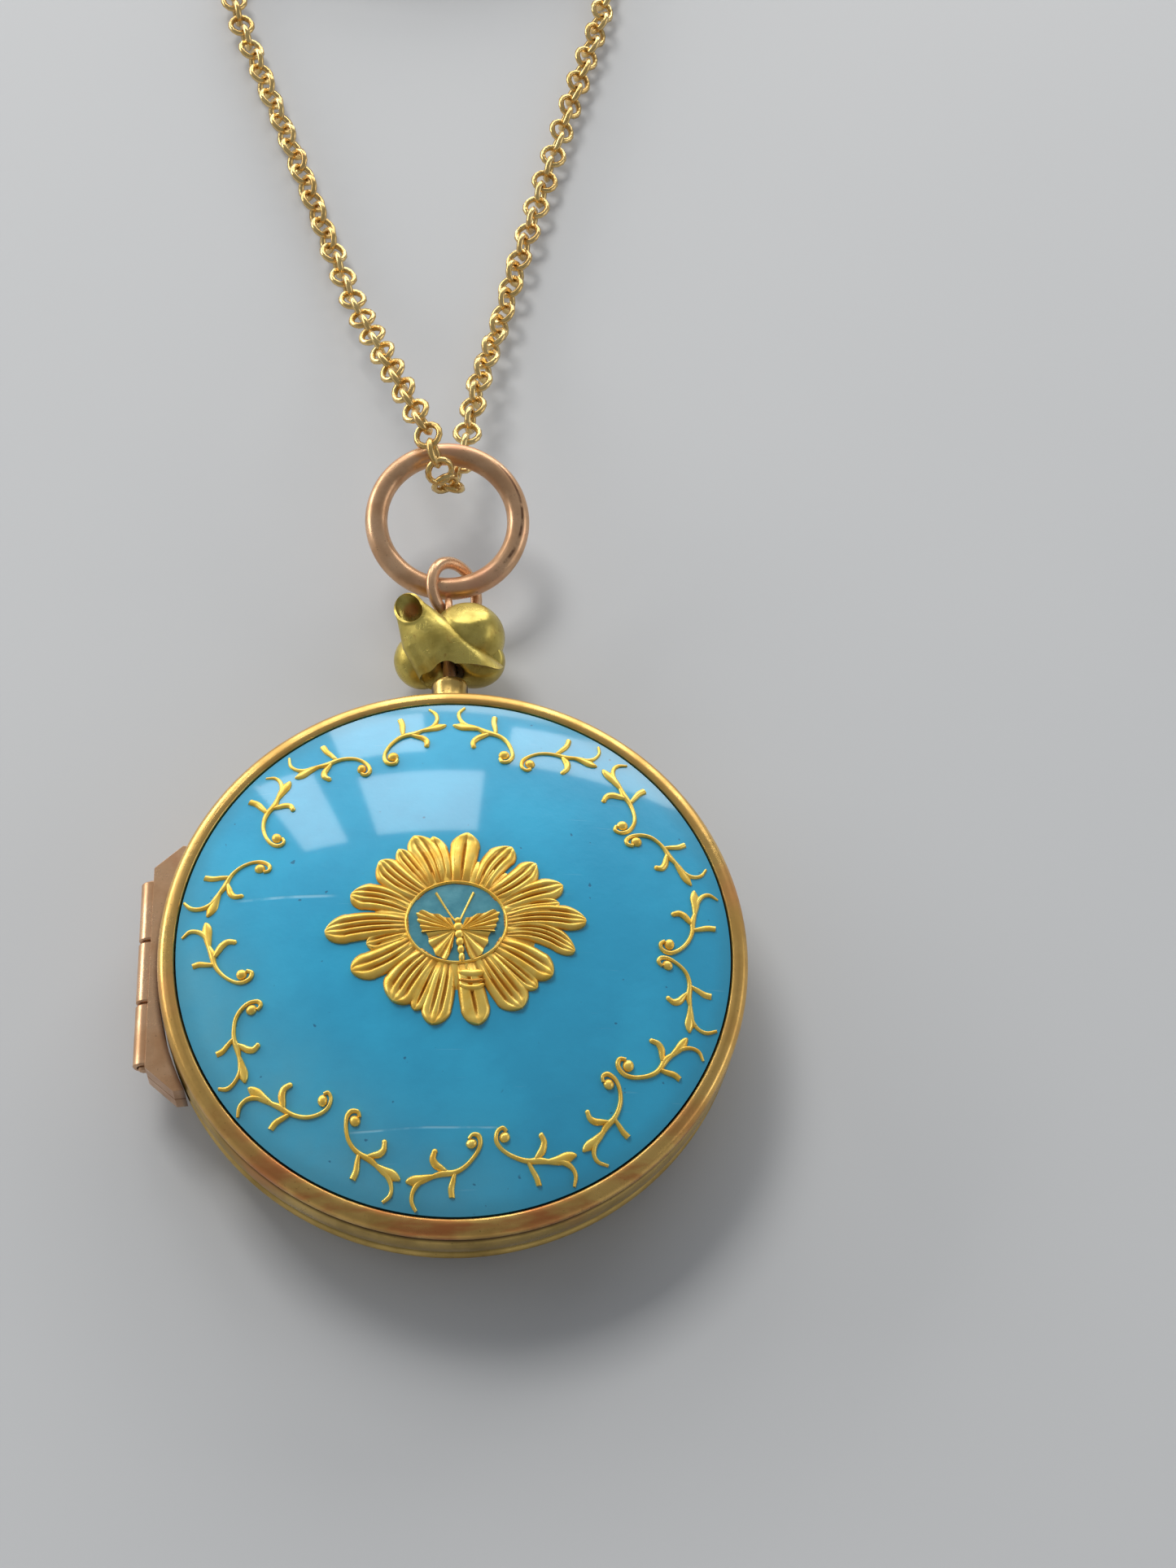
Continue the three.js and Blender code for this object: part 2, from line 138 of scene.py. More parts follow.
# %% Material helpers
class Recipe:
    """One material being written: its nodes, its links and its principled shader."""

    def __init__(self, name):
        self.material = bpy.data.materials.new(name)
        self.material.use_nodes = True
        self.nodes = self.material.node_tree.nodes
        self.links = self.material.node_tree.links
        self.shader = self.nodes["Principled BSDF"]
        self.place = self.nodes.new("ShaderNodeTexCoord").outputs["Object"]

    def wire(self, source, target):
        """Put a link or a plain value into a socket."""
        if isinstance(source, bpy.types.NodeSocket):
            self.links.new(source, target)
        else:
            target.default_value = source

    def noise(self, size, stretch=(1, 1, 1), turn=0.0, detail=4.0, rough=0.55):
        """Noise whose patches are about `size` mm, pulled out by `stretch`."""
        mapping = self.nodes.new("ShaderNodeMapping")
        mapping.inputs["Rotation"].default_value[2] = math.radians(turn)
        mapping.inputs["Scale"].default_value = stretch
        self.links.new(self.place, mapping.inputs["Vector"])
        texture = self.nodes.new("ShaderNodeTexNoise")
        texture.inputs["Scale"].default_value = 1 / (size * MM)
        texture.inputs["Detail"].default_value = detail
        texture.inputs["Roughness"].default_value = rough
        self.links.new(mapping.outputs["Vector"], texture.inputs["Vector"])
        return texture.outputs["Fac"]

    def step(self, value, low, high, to_low=0.0, to_high=1.0):
        """A soft step: `to_low` under `low`, `to_high` over `high`."""
        node = self.nodes.new("ShaderNodeMapRange")
        node.interpolation_type = "SMOOTHSTEP"
        self.wire(value, node.inputs["Value"])
        for socket, number in zip(("From Min", "From Max", "To Min", "To Max"),
                                  (low, high, to_low, to_high)):
            node.inputs[socket].default_value = number
        return node.outputs["Result"]

    def math(self, operation, a, b=0.0):
        """One step of arithmetic between two values."""
        node = self.nodes.new("ShaderNodeMath")
        node.operation = operation
        self.wire(a, node.inputs[0])
        self.wire(b, node.inputs[1])
        return node.outputs["Value"]

    def times(self, a, b):
        return self.math("MULTIPLY", a, b)

    def plus(self, a, b):
        return self.math("ADD", a, b)

    def minus(self, a, b):
        return self.math("SUBTRACT", a, b)

    def mix(self, mask, first, second):
        """The first colour where the mask is 0, the second where it is 1."""
        node = self.nodes.new("ShaderNodeMix")
        node.data_type = "RGBA"
        self.wire(mask, node.inputs[0])
        self.wire(first, node.inputs[6])
        self.wire(second, node.inputs[7])
        return node.outputs[2]

    def axis(self, which):
        """The X, Y or Z of the place on the piece, in millimetres."""
        node = self.nodes.new("ShaderNodeSeparateXYZ")
        self.links.new(self.place, node.inputs["Vector"])
        return self.times(node.outputs[which], 1000.0)

    def bump(self, height, depth):
        """Small relief: `depth` mm from the lowest to the highest height."""
        node = self.nodes.new("ShaderNodeBump")
        node.inputs["Strength"].default_value = 1.0
        node.inputs["Distance"].default_value = depth * MM
        self.wire(height, node.inputs["Height"])
        self.links.new(node.outputs["Normal"], self.shader.inputs["Normal"])

    def set(self, **values):
        """Feed the shader's own sockets, named with _ for each space."""
        for key, value in values.items():
            self.wire(value, self.shader.inputs[key.replace("_", " ")])


plain_floor = Recipe("pale_card")
card = plain_floor.noise(60.0, detail=3)
plain_floor.set(Base_Color=plain_floor.mix(card, (0.50, 0.51, 0.52, 1), (0.55, 0.555, 0.56, 1)),
                Roughness=0.6)
floor.data.materials.append(plain_floor.material)
print("floor finish ready")

# %% [markdown]
# ## Old gold
# Antique gold is never one colour. The alloy decides the base: case gold is yellow, ring wire is
# rosy with copper, and foil is rich. Handling then polishes what stands proud, dulls what lies low
# and lays down fine scratches in every direction. One recipe covers all of it: cloudy colour, a
# copper blush, crossed hair scratches, and a shallow ripple from the hammer and the buff.

# %% The gold recipe
def darkened(recipe, mask, colour, strength=1.0):
    """Lay a colour over a finish wherever the mask says so."""
    base = recipe.shader.inputs["Base Color"].links[0].from_socket
    mask = recipe.times(mask, strength)
    recipe.set(Base_Color=recipe.mix(mask, base, (*colour, 1)))


def near(recipe, place, low, high):
    """A mask round one place: 1 within `low` mm of it, 0 beyond `high`."""
    total = 0.0
    for axis, at in zip("XYZ", place):
        step = recipe.minus(recipe.axis(axis), at)
        total = recipe.plus(recipe.times(step, step), total)
    return recipe.step(recipe.math("SQRT", total), low, high, 1.0, 0.0)


def band(recipe, value, at, wide):
    """A soft line where a value passes through `at`."""
    return recipe.step(recipe.math("ABSOLUTE", recipe.minus(value, at)),
                       wide * 0.3, wide, 1.0, 0.0)


def rim_distance(recipe):
    """Distance from the locket's middle line, in mm."""
    x, y = recipe.axis("X"), recipe.axis("Y")
    return recipe.math("SQRT", recipe.plus(recipe.times(x, x),
                                           recipe.times(y, y)))


def old_gold(name, bright, dull, blush, rough=(0.2, 0.42), cloud=3.0, blush_at=(0.55, 0.75),
             ripple=0.012, scratch=0.5, metal=0.9):
    """Cloudy gold with a blush, hair scratches, pits and a shallow ripple."""
    r = Recipe(name)
    clouds = r.noise(cloud, detail=5)
    colour = r.mix(r.step(clouds, 0.38, 0.66), (*bright, 1), (*dull, 1))
    rosy = r.step(r.noise(cloud * 2.1, detail=3, rough=0.6), *blush_at)
    colour = r.mix(r.times(rosy, 0.8), colour, (*blush, 1))
    hair_a = r.step(r.noise(0.5, (9, 0.5, 1), 35, 2), 0.6, 0.72)
    hair_b = r.step(r.noise(0.45, (0.45, 8, 1), 12, 2), 0.62, 0.74)
    hairs = r.math("MAXIMUM", hair_a, hair_b)
    pits = r.step(r.noise(0.16, detail=2), 0.66, 0.76)
    colour = r.mix(r.times(pits, 0.55), colour, tuple(c * 0.35 for c in dull) + (1,))
    finish = r.step(clouds, 0.3, 0.7, rough[0], rough[1])
    finish = r.plus(finish, r.times(hairs, 0.12 * scratch))
    height = r.plus(r.noise(0.9, detail=3), r.times(hairs, -0.12 * scratch))
    height = r.plus(height, r.times(pits, -0.25))
    r.bump(height, ripple)
    r.set(Base_Color=colour, Roughness=finish, Metallic=metal)
    return r


gold = {
    "case_gold": old_gold("case_gold", (0.68, 0.46, 0.14), (0.44, 0.29, 0.08), (0.60, 0.28, 0.10),
                          rough=(0.26, 0.46)),
    "rose_gold": old_gold("rose_gold", (0.76, 0.47, 0.27), (0.55, 0.31, 0.16), (0.72, 0.36, 0.22),
                          rough=(0.24, 0.40), cloud=2.2, metal=0.8),
    "green_gold": old_gold("green_gold", (0.60, 0.48, 0.12), (0.38, 0.29, 0.06),
                           (0.50, 0.25, 0.05), rough=(0.24, 0.42), cloud=1.4,
                           blush_at=(0.56, 0.76), ripple=0.02, scratch=1.0, metal=0.8),
    "foil_gold": old_gold("foil_gold", (1.0, 0.70, 0.15), (0.92, 0.56, 0.08),
                          (0.95, 0.52, 0.07), rough=(0.28, 0.44), cloud=0.8, ripple=0.015,
                          metal=0.62),
    "chain_gold": old_gold("chain_gold", (0.86, 0.62, 0.26), (0.70, 0.46, 0.16),
                           (0.78, 0.45, 0.20), rough=(0.14, 0.28), cloud=4.0, ripple=0.004, metal=0.85),
}
print("gold finishes:", len(gold))

# %% [markdown]
# Dirt settles where a cloth cannot reach, in the grooves between the case's bands, and painted shade
# is laid there with it. The bore of the knot and the foot of the hinge strips, against the case, get
# painted shade. The knot's mouth is reddened, and the struck lines of the foil turn a deeper orange.
# All but the last are masks by place. The struck lines come with the foil's own mesh, as a number
# called low that is 1 at the bottom of a line.

# %% Dirt and painted shade in the low places
case_recipe = gold["case_gold"]
outside = case_recipe.step(rim_distance(case_recipe), 13.3, 13.5)
# painted shade and dirt: the case wall darkens in its two grooves
for level in (5.02, 3.2):
    groove = band(case_recipe, case_recipe.axis("Z"), level, 0.36)
    darkened(case_recipe, case_recipe.times(groove, outside), (0.06, 0.03, 0.015), 0.95)
knot = gold["green_gold"]
darkened(knot, near(knot, (-1.95, 20.0, 4.1), 0.30, 0.58), (0.50, 0.17, 0.04), 0.85)
# painted shade: the post's bore and its opening turn nearly black
darkened(knot, near(knot, (-0.08, 16.4, 3.4), 0.85, 1.0), (0.03, 0.018, 0.01), 0.95)
crease = knot.step(knot.noise(0.6, detail=4), 0.62, 0.72)
darkened(knot, crease, (0.30, 0.11, 0.02), 0.5)
rings = gold["rose_gold"]
# painted shade: rose gold inside the case's outline, at the foot of the hinge strips, is darkened
# nearly to black
darkened(rings, rings.step(rim_distance(rings), 14.15, 14.5, 1.0, 0.0), (0.10, 0.045, 0.03), 0.85)
along = rings.math("DIVIDE", rings.minus(rings.axis("Y"), 25.68), 0.968)
reach = rings.math("SQRT", rings.plus(rings.times(along, along),
                                      rings.math("POWER", rings.axis("X"), 2.0)))
seam = rings.times(band(rings, reach, 4.0, 0.1), rings.step(rings.axis("X"), 2.2, 3.0))
seam = rings.times(seam, rings.step(rings.noise(1.1), 0.38, 0.52))
darkened(rings, seam, (0.10, 0.04, 0.02), 0.8)
foil = gold["foil_gold"]
struck = foil.nodes.new("ShaderNodeAttribute")
struck.attribute_name = "low"
darkened(foil, struck.outputs["Fac"], (0.50, 0.20, 0.02), 0.85)
print("dirt laid on", 4, "finishes")

# %% [markdown]
# ## The bezel's gold
# The rounded band round the enamel takes all the rubbing. Toward the near side its thin yellow
# plating has gone and the coppery gold under it shows, in a broken streak. The mask is a soft step
# along Y, broken up with noise that is drawn out round the rim.

# %% Bezel gold
bezel = old_gold("bezel_gold", (0.80, 0.50, 0.15), (0.56, 0.33, 0.09), (0.70, 0.31, 0.11))
shade = bezel.shader.inputs["Base Color"].links[0].from_socket
near_side = bezel.step(bezel.axis("Y"), -6.0, -13.0)
streak = bezel.step(bezel.noise(1.6, (0.35, 1.6, 1), detail=4), 0.42, 0.60)
bare = bezel.times(near_side, streak)
bezel.set(Base_Color=bezel.mix(bezel.times(bare, 0.85), shade, (0.58, 0.19, 0.06, 1)))
# painted shade and dirt: the bezel darkens in the groove at its foot
darkened(bezel, band(bezel, bezel.axis("Z"), 5.28, 0.30), (0.06, 0.03, 0.015), 0.9)
gold["bezel_gold"] = bezel
print("bezel finish ready")

# %% [markdown]
# ## Blue enamel
# Enamel is coloured glass melted onto metal. Its surface is wet-looking but not flat: it ripples
# like orange peel, holds pinholes and dark specks from the firing, and collects hair scratches.
# A clear coat gives the sharp reflections and the body colour stays matt beneath it. The blue is
# deepest in the middle and greyer and paler toward the near left rim, where old wear clouds it.

# %% Enamel
def scratch_line(r, start, end, width):
    """A mask along one straight scratch between two [x, y] places."""
    x, y = r.axis("X"), r.axis("Y")
    slope = (end[1] - start[1]) / (end[0] - start[0])
    bend = r.times(r.minus(r.noise(6.0, detail=1), 0.5), 0.5)
    level = r.plus(r.times(x, slope), start[1] - slope * start[0])
    away = r.math("ABSOLUTE", r.minus(r.plus(y, bend), level))
    line = r.step(away, width, width * 0.3)
    inside = r.times(r.step(x, start[0], start[0] + 1), r.step(x, end[0], end[0] - 1))
    return r.times(r.times(line, inside), r.step(r.noise(1.2), 0.32, 0.6))


enamel = Recipe("enamel")
radius = rim_distance(enamel)
clouds = enamel.noise(5.0, detail=4)
blue = enamel.mix(enamel.step(clouds, 0.35, 0.7), (0.016, 0.31, 0.52, 1), (0.022, 0.37, 0.60, 1))
corner = enamel.plus(enamel.axis("X"), enamel.axis("Y"))
pale = enamel.times(enamel.step(corner, -4.0, -17.0), enamel.step(radius, 5.0, 12.5))
pale = enamel.times(pale, enamel.step(enamel.noise(3.5, detail=5), 0.2, 0.75, 0.45, 1.0))
blue = enamel.mix(enamel.times(pale, 0.62), blue, (0.115, 0.33, 0.40, 1))
# painted shade: the blue darkens in a ring just inside the bezel
rim_shade = enamel.times(enamel.step(radius, 12.2, 13.2), 0.45)
blue = enamel.mix(rim_shade, blue, (0.02, 0.20, 0.30, 1))
specks = enamel.step(enamel.noise(0.42, detail=1), 0.755, 0.80)
blue = enamel.mix(enamel.times(specks, 0.75), blue, (0.01, 0.10, 0.20, 1))
marks = enamel.math("MAXIMUM", scratch_line(enamel, (-10.6, 2.1), (-5.4, 1.9), 0.10),
                    scratch_line(enamel, (-5.4, -9.4), (2.4, -9.3), 0.07))
hairs = enamel.times(enamel.step(enamel.noise(0.8, (0.25, 5.0, 1), -38, 2), 0.71, 0.77), 0.2)
marks = enamel.math("MAXIMUM", marks, hairs)
blue = enamel.mix(enamel.times(marks, 0.55), blue, (0.30, 0.60, 0.74, 1))
peel = enamel.plus(enamel.noise(0.85, detail=3), enamel.times(enamel.noise(0.28, detail=2), 0.25))
peel = enamel.plus(peel, enamel.times(enamel.plus(specks, marks), -0.35))
enamel.bump(peel, 0.014)
enamel.set(Base_Color=blue, Roughness=0.38, Metallic=0.0, Specular_IOR_Level=0.4,
           Coat_Weight=1.0, Coat_Roughness=0.06, Coat_IOR=1.55)
print("enamel nodes:", len(enamel.nodes))

# %% [markdown]
# ## Medallion, paper and glass
# The little oval behind the butterfly is the same glass over a darker ground. Inside the locket
# lie two blank picture cards, foxed with age, each under a thin glass.

# %% Medallion, paper and glass
medallion = Recipe("medallion_enamel")
clouds = medallion.step(medallion.noise(0.7, detail=4), 0.3, 0.7)
medallion.set(Base_Color=medallion.mix(clouds, (0.04, 0.20, 0.26, 1), (0.075, 0.27, 0.33, 1)),
              Roughness=0.3, Coat_Weight=0.8, Coat_Roughness=0.08)
medallion.bump(medallion.noise(0.3, detail=3), 0.012)
paper = Recipe("paper")
aged = paper.mix(paper.step(paper.noise(5.0, detail=5), 0.4, 0.72), (0.72, 0.64, 0.48, 1),
                 (0.55, 0.44, 0.28, 1))
foxed = paper.times(paper.step(paper.noise(0.9, detail=3), 0.66, 0.74), 0.6)
aged = paper.mix(foxed, aged, (0.36, 0.22, 0.10, 1))
paper.set(Base_Color=aged, Roughness=0.85)
paper.bump(paper.noise(0.12, detail=4), 0.02)
glass = Recipe("glass")
smear = glass.step(glass.noise(4.0, detail=4), 0.4, 0.7, 0.03, 0.12)
glass.set(Base_Color=(0.95, 0.98, 0.97, 1), Roughness=smear, Transmission_Weight=1.0, IOR=1.5)
finishes = {name: recipe.material for name, recipe in gold.items()}
finishes.update(enamel=enamel.material, medallion_enamel=medallion.material,
                paper=paper.material, glass=glass.material)
print("finishes:", ", ".join(sorted(finishes)))

# %% [markdown]
# ## From points to pieces
# A piece is a list of points and faces, in millimetres. One helper turns that into an object, makes
# every shell face outward, smooths it except at real corners, gives it its finish, hands it to the
# body it rides on and hides the plain mechanical solid it stands for.

# %% The piece maker
def cleaned(mesh, merge):
    """Join points closer than `merge`, in the mesh's own units, and face every shell outward."""
    work = bmesh.new()
    work.from_mesh(mesh)
    bmesh.ops.remove_doubles(work, verts=work.verts, dist=merge)
    bmesh.ops.recalc_face_normals(work, faces=work.faces)
    work.to_mesh(mesh)
    work.free()


def piece(name, points, faces, finish, body, stands_for=(), corner=38, low=None):
    """Make one piece from millimetres; `low` marks the struck lines, point by point."""
    mesh = bpy.data.meshes.new(name)
    mesh.from_pydata([tuple(c * MM for c in q) for q in points], [], faces)
    if low:
        mesh.attributes.new("low", "FLOAT", "POINT").data.foreach_set("value", low)
    cleaned(mesh, 1e-7)
    return finished(bpy.data.objects.new(name, mesh), finish, body, stands_for, corner)


def finished(thing, finish, body, stands_for=(), corner=38):
    """Dress an object and hand it to its body."""
    if thing.name not in bpy.context.scene.collection.objects:
        bpy.context.scene.collection.objects.link(thing)
    mesh = thing.data
    mesh.polygons.foreach_set("use_smooth", [True] * len(mesh.polygons))
    mesh.set_sharp_from_angle(angle=math.radians(corner))
    mesh.materials.clear()
    mesh.materials.append(finishes[finish])
    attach(thing, body)
    if stands_for:
        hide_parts(*stands_for)
    print(f"{thing.name}: {len(mesh.polygons)} faces")
    return thing


def grid_faces(rows, columns, wrap_rows=False, wrap_columns=False, start=0):
    """Quads between rows of points, closed on themselves where asked."""
    out = []
    for i in range(rows if wrap_rows else rows - 1):
        for j in range(columns if wrap_columns else columns - 1):
            a, b = i % rows, (i + 1) % rows
            c, d = j % columns, (j + 1) % columns
            out.append(tuple(start + k for k in (a * columns + c, a * columns + d,
                                                 b * columns + d, b * columns + c)))
    return out


def closed_sheet(rows, columns, start=0):
    """Faces of a sheet with thickness: two matching grids of points and the edge between them."""
    count = rows * columns
    faces = (grid_faces(rows, columns, start=start)
             + grid_faces(rows, columns, start=start + count))
    rim = ([j for j in range(columns)] + [i * columns + columns - 1 for i in range(1, rows)]
           + [count - 1 - j for j in range(1, columns)]
           + [i * columns for i in range(rows - 2, 0, -1)])
    for a, b in zip(rim, rim[1:] + rim[:1]):
        faces.append((start + a, start + b, start + count + b, start + count + a))
    return faces


def round_corners(profile, passes=2, closed=True):
    """Cut each corner of an outline twice over, which leaves it softly rounded."""
    line = [np.array(q, float) for q in profile]
    for _ in range(passes):
        n, out = len(line), []
        for i in range(n if closed else n - 1):
            a, b = line[i], line[(i + 1) % n]
            out += [a * 0.82 + b * 0.18, a * 0.18 + b * 0.82]
        line = out if closed else [line[0], *out, line[-1]]
    return line


def turned(profile, facets=144, about="Z", level=0.0, closed=True):
    """Turn an outline of [radius, height] pairs about an axis, as on a lathe."""
    points = []
    for k in range(facets):
        a = 2 * math.pi * k / facets
        for r, h in profile:
            r = max(r, 0.0)
            if about == "Z":
                points.append((r * math.cos(a), r * math.sin(a), h))
            else:
                points.append((r * math.cos(a), h, level + r * math.sin(a)))
    return points, grid_faces(facets, len(profile), True, closed)


# %% [markdown]
# ## The case
# A locket case is spun or pressed from sheet and trued on a lathe, so every part of it is a turned
# outline: the dished back, the snap lip that the front clicks over, the front wall, the bezel, and
# in each half a plate, a card, a glass and the ring that holds them. The outlines are closed loops
# of a few corners, softened by cutting the corners, and then turned.

# %% Case outlines
CASE = {  # name: body, finish, then the outline as [radius, height]
    "back_shell": ("case", "case_gold", [
        (0, 0), (6, 0), (9.5, 0.3), (12, 0.9), (13.3, 1.5), (13.95, 2.1), (14.12, 2.6),
        (13.98, 2.9), (13.75, 3.06), (13.4, 3.06), (13.4, 2.2), (12.6, 1.5), (9.5, 0.85),
        (6, 0.55), (0, 0.5)]),
    "back_snap_lip": ("case", "case_gold", [
        (12.95, 2.3), (13.3, 2.3), (13.3, 3.3), (13.18, 3.9), (12.95, 3.9)]),
    "back_well_plate": ("case", "case_gold", [(0, 1.85), (12.85, 1.85), (12.85, 2.05), (0, 2.05)]),
    "back_picture": ("case", "paper", [(0, 2.1), (12.1, 2.1), (12.1, 2.2), (0, 2.2)]),
    "back_glass": ("case", "glass", [(0, 2.25), (12.1, 2.25), (12.1, 2.43), (0, 2.43)]),
    "back_picture_ring": ("case", "case_gold", [
        (12.2, 2.1), (12.85, 2.1), (12.85, 2.7), (12.7, 2.85), (11.4, 2.85), (11.2, 2.7),
        (11.2, 2.48), (12.2, 2.48)]),
    "front_wall": ("cover", "case_gold", [
        (13.45, 3.14), (13.7, 3.14), (13.95, 3.26), (14.1, 3.6), (14.12, 4.2), (14.02, 4.75),
        (13.76, 5.1), (13.45, 5.15)]),
    "front_bezel": ("cover", "bezel_gold", [
        (13.27, 5.2), (13.68, 5.2), (13.95, 5.33), (14.12, 5.6), (14.06, 5.9), (13.88, 6.12),
        (13.58, 6.24), (13.36, 6.22), (13.27, 6.12)]),
    "front_well_plate": ("cover", "case_gold", [(0, 4.1), (13.38, 4.1), (13.38, 4.3), (0, 4.3)]),
    "front_picture": ("cover", "paper", [(0, 3.95), (12.1, 3.95), (12.1, 4.05), (0, 4.05)]),
    "front_glass": ("cover", "glass", [(0, 3.72), (12.1, 3.72), (12.1, 3.9), (0, 3.9)]),
    "front_picture_ring": ("cover", "case_gold", [
        (11.2, 3.48), (11.4, 3.3), (12.6, 3.3), (12.75, 3.45), (12.75, 4.05), (12.2, 4.05),
        (12.2, 3.67), (11.2, 3.67)]),
}
for name, (body, finish, outline) in CASE.items():
    solid_disc = outline[0][0] == 0
    soft = round_corners(outline, closed=not solid_disc)
    points, faces = turned(soft, closed=not solid_disc)
    piece(name + "_turned", points, faces, finish, body, [name])

# %% [markdown]
# ## The dome
# The front is a shallow slice of a sphere. The enamel and the metal under it follow the same
# curve, and so does every piece of ornament, so the curve is worth a function of its own: the
# height of the enamel at any place.

# %% Enamel dome and the plate under it
DOME_RADIUS, DOME_RISE, DOME_TOP = 13.2, 2.2, 8.35
SPHERE = (DOME_RADIUS ** 2 + DOME_RISE ** 2) / (2 * DOME_RISE)


def dome(x, y):
    """Height of the enamel above the ground."""
    return DOME_TOP - SPHERE + math.sqrt(SPHERE ** 2 - x * x - y * y)


def domed_sheet(over, under, reach=DOME_RADIUS, rings=36):
    """Outline of a sheet that follows the dome, between two distances from it."""
    steps = [reach * k / rings for k in range(rings + 1)]
    return ([(r, dome(r, 0) + under) for r in steps]
            + [(r, dome(r, 0) + over) for r in reversed(steps)])


points, faces = turned(domed_sheet(0.0, -0.5), 192, closed=False)
piece("enamel_front", points, faces, "enamel", "cover", ["enamel_dome"])
points, faces = turned(domed_sheet(-0.57, -0.97, rings=12), 96, closed=False)
piece("dome_plate", points, faces, "case_gold", "cover", ["front_dome_plate"])

# %% [markdown]
# ## Laying gold on the dome
# All the ornament is thin gold pressed or laid onto the enamel. Most of it is strokes: a line with
# a width at each point and a half-round top. A smooth curve goes through the given points, and a
# small arched section is carried along it, always standing on the dome.

# %% Strokes on the dome
def smooth_line(points, per_step=6):
    """A curve through every given point; further numbers such as a width are carried along.
    Steps are weighed by the root of their length, which keeps uneven spacing free of kinks."""
    p = [np.array(q, float) for q in points]
    p = [2 * p[0] - p[1], *p, 2 * p[-1] - p[-2]]
    out = []
    for four in zip(p, p[1:], p[2:], p[3:]):
        knots = [0.0]
        for u, v in zip(four, four[1:]):
            knots.append(knots[-1] + max(float(np.linalg.norm(v - u)), 1e-6) ** 0.5)
        for k in range(per_step):
            t = knots[1] + (knots[2] - knots[1]) * k / per_step
            level = list(four)
            for gap in (1, 2):
                level = [(u * (knots[i + gap] - t) + v * (t - knots[i])) / (knots[i + gap] - knots[i])
                         for i, (u, v) in enumerate(zip(level, level[1:]))]
            low_side, high_side = level
            share = (t - knots[1]) / (knots[2] - knots[1])
            out.append(low_side * (1 - share) + high_side * share)
    return out + [p[-2]]


ARCH = [(-1, -0.25), (-0.92, 0.35), (-0.5, 0.85), (0, 1), (0.5, 0.85), (0.92, 0.35), (1, -0.25)]


def stroke(points, faces, line, high=0.16, lift=0.0):
    """Add one arched stroke: the line holds x, y and width."""
    start = len(points)
    for i, (x, y, wide) in enumerate(line):
        ahead, back = line[min(i + 1, len(line) - 1)], line[max(i - 1, 0)]
        run = np.array([ahead[0] - back[0], ahead[1] - back[1]])
        run /= max(np.linalg.norm(run), 1e-9)
        tall = high * min(1.0, wide / 0.2)
        for u, v in ARCH:
            px, py = x - run[1] * u * wide / 2, y + run[0] * u * wide / 2
            points.append((px, py, dome(px, py) + lift + v * tall))
    faces += grid_faces(len(line), len(ARCH), False, True, start)
    faces.append(tuple(range(start, start + len(ARCH))))
    faces.append(tuple(range(len(points) - len(ARCH), len(points))))


def bead(points, faces, x, y, across, deep, high, lift=0.0):
    """Add a small flattened ball that sits on the dome."""
    start, rows, columns = len(points), 7, 12
    for i in range(rows):
        a = math.pi * (i / (rows - 1) - 0.5)
        for j in range(columns):
            b = 2 * math.pi * j / columns
            px, py = x + across * math.cos(a) * math.cos(b), y + deep * math.cos(a) * math.sin(b)
            points.append((px, py, dome(x, y) + lift + high * math.sin(a)))
    faces += grid_faces(rows, columns, False, True, start)


# %% [markdown]
# ## The garland
# Nine pairs of scrolled sprigs run round the rim. One sprig has a tail that rises from the rim, a
# plump bud, a stem that curls round a bead, and two leaves. A sprig and its mirror image are
# modelled once, at the far side of the dome. Geometry Nodes set nine of them round the rim and
# nudge each by a little noise, because each was laid by hand and no two are quite alike.

# %% One pair of sprigs
SPRIG = [  # strokes of [degrees from the pair's middle, distance in from the rim, width]
    [(3.8, 0.1, 0.14), (2.5, 0.45, 0.2), (2.4, 0.8, 0.2), (3.2, 1.15, 0.24), (4.6, 1.38, 0.22),
     (6.9, 1.55, 0.18)],
    [(0.7, 1.22, 0.10), (1.6, 1.3, 0.36), (2.8, 1.36, 0.5), (4.4, 1.43, 0.42), (6.9, 1.55, 0.22)],
    [(6.7, 1.54, 0.22), (8.8, 1.7, 0.32), (11, 1.76, 0.26), (13, 1.9, 0.22), (15.4, 2.2, 0.2),
     (17.2, 2.6, 0.2), (18.0, 3.0, 0.22), (17.4, 3.36, 0.22), (15.9, 3.45, 0.2),
     (14.9, 3.25, 0.18)],
    [(9.5, 1.8, 0.18), (8.2, 1.95, 0.3), (7.0, 2.1, 0.34), (6.2, 2.35, 0.3), (6.4, 2.62, 0.24)],
    [(11.4, 1.7, 0.18), (11.0, 1.35, 0.26), (10.6, 1.0, 0.3), (10.7, 0.65, 0.3)],
]


def on_rim(degrees, inward, rim=13.1):
    """A place near the rim, by its angle from the far side and its distance inward."""
    a = math.radians(90 + degrees)
    return (rim - inward) * math.cos(a), (rim - inward) * math.sin(a)


points, faces = [], []
for side in (-1, 1):
    for line in SPRIG:
        flat = [(*on_rim(side * d, inward), wide) for d, inward, wide in line]
        stroke(points, faces, smooth_line(flat, 5))
    bead(points, faces, *on_rim(side * 15.7, 3.02), 0.27, 0.27, 0.22)
    bead(points, faces, *on_rim(side * 6.5, 2.66), 0.13, 0.13, 0.14)
sprig_mesh = bpy.data.meshes.new("sprig_pair")
sprig_mesh.from_pydata(points, [], faces)
cleaned(sprig_mesh, 1e-4)
sprig_mesh.transform(Matrix.Scale(MM, 4))
sprig_pair = placed("sprig_pair", sprig_mesh)
print("sprig pair:", len(sprig_mesh.polygons), "faces")


# %% [markdown]
# ## Helpers for Geometry Nodes
# Two things here repeat: the sprig pairs round the rim and the links along the chain. Both grow
# from a small tree of nodes with named inputs, so the numbers that a maker would change, such as
# how many pairs there are, can be found by name. The result is turned into a plain mesh at once.

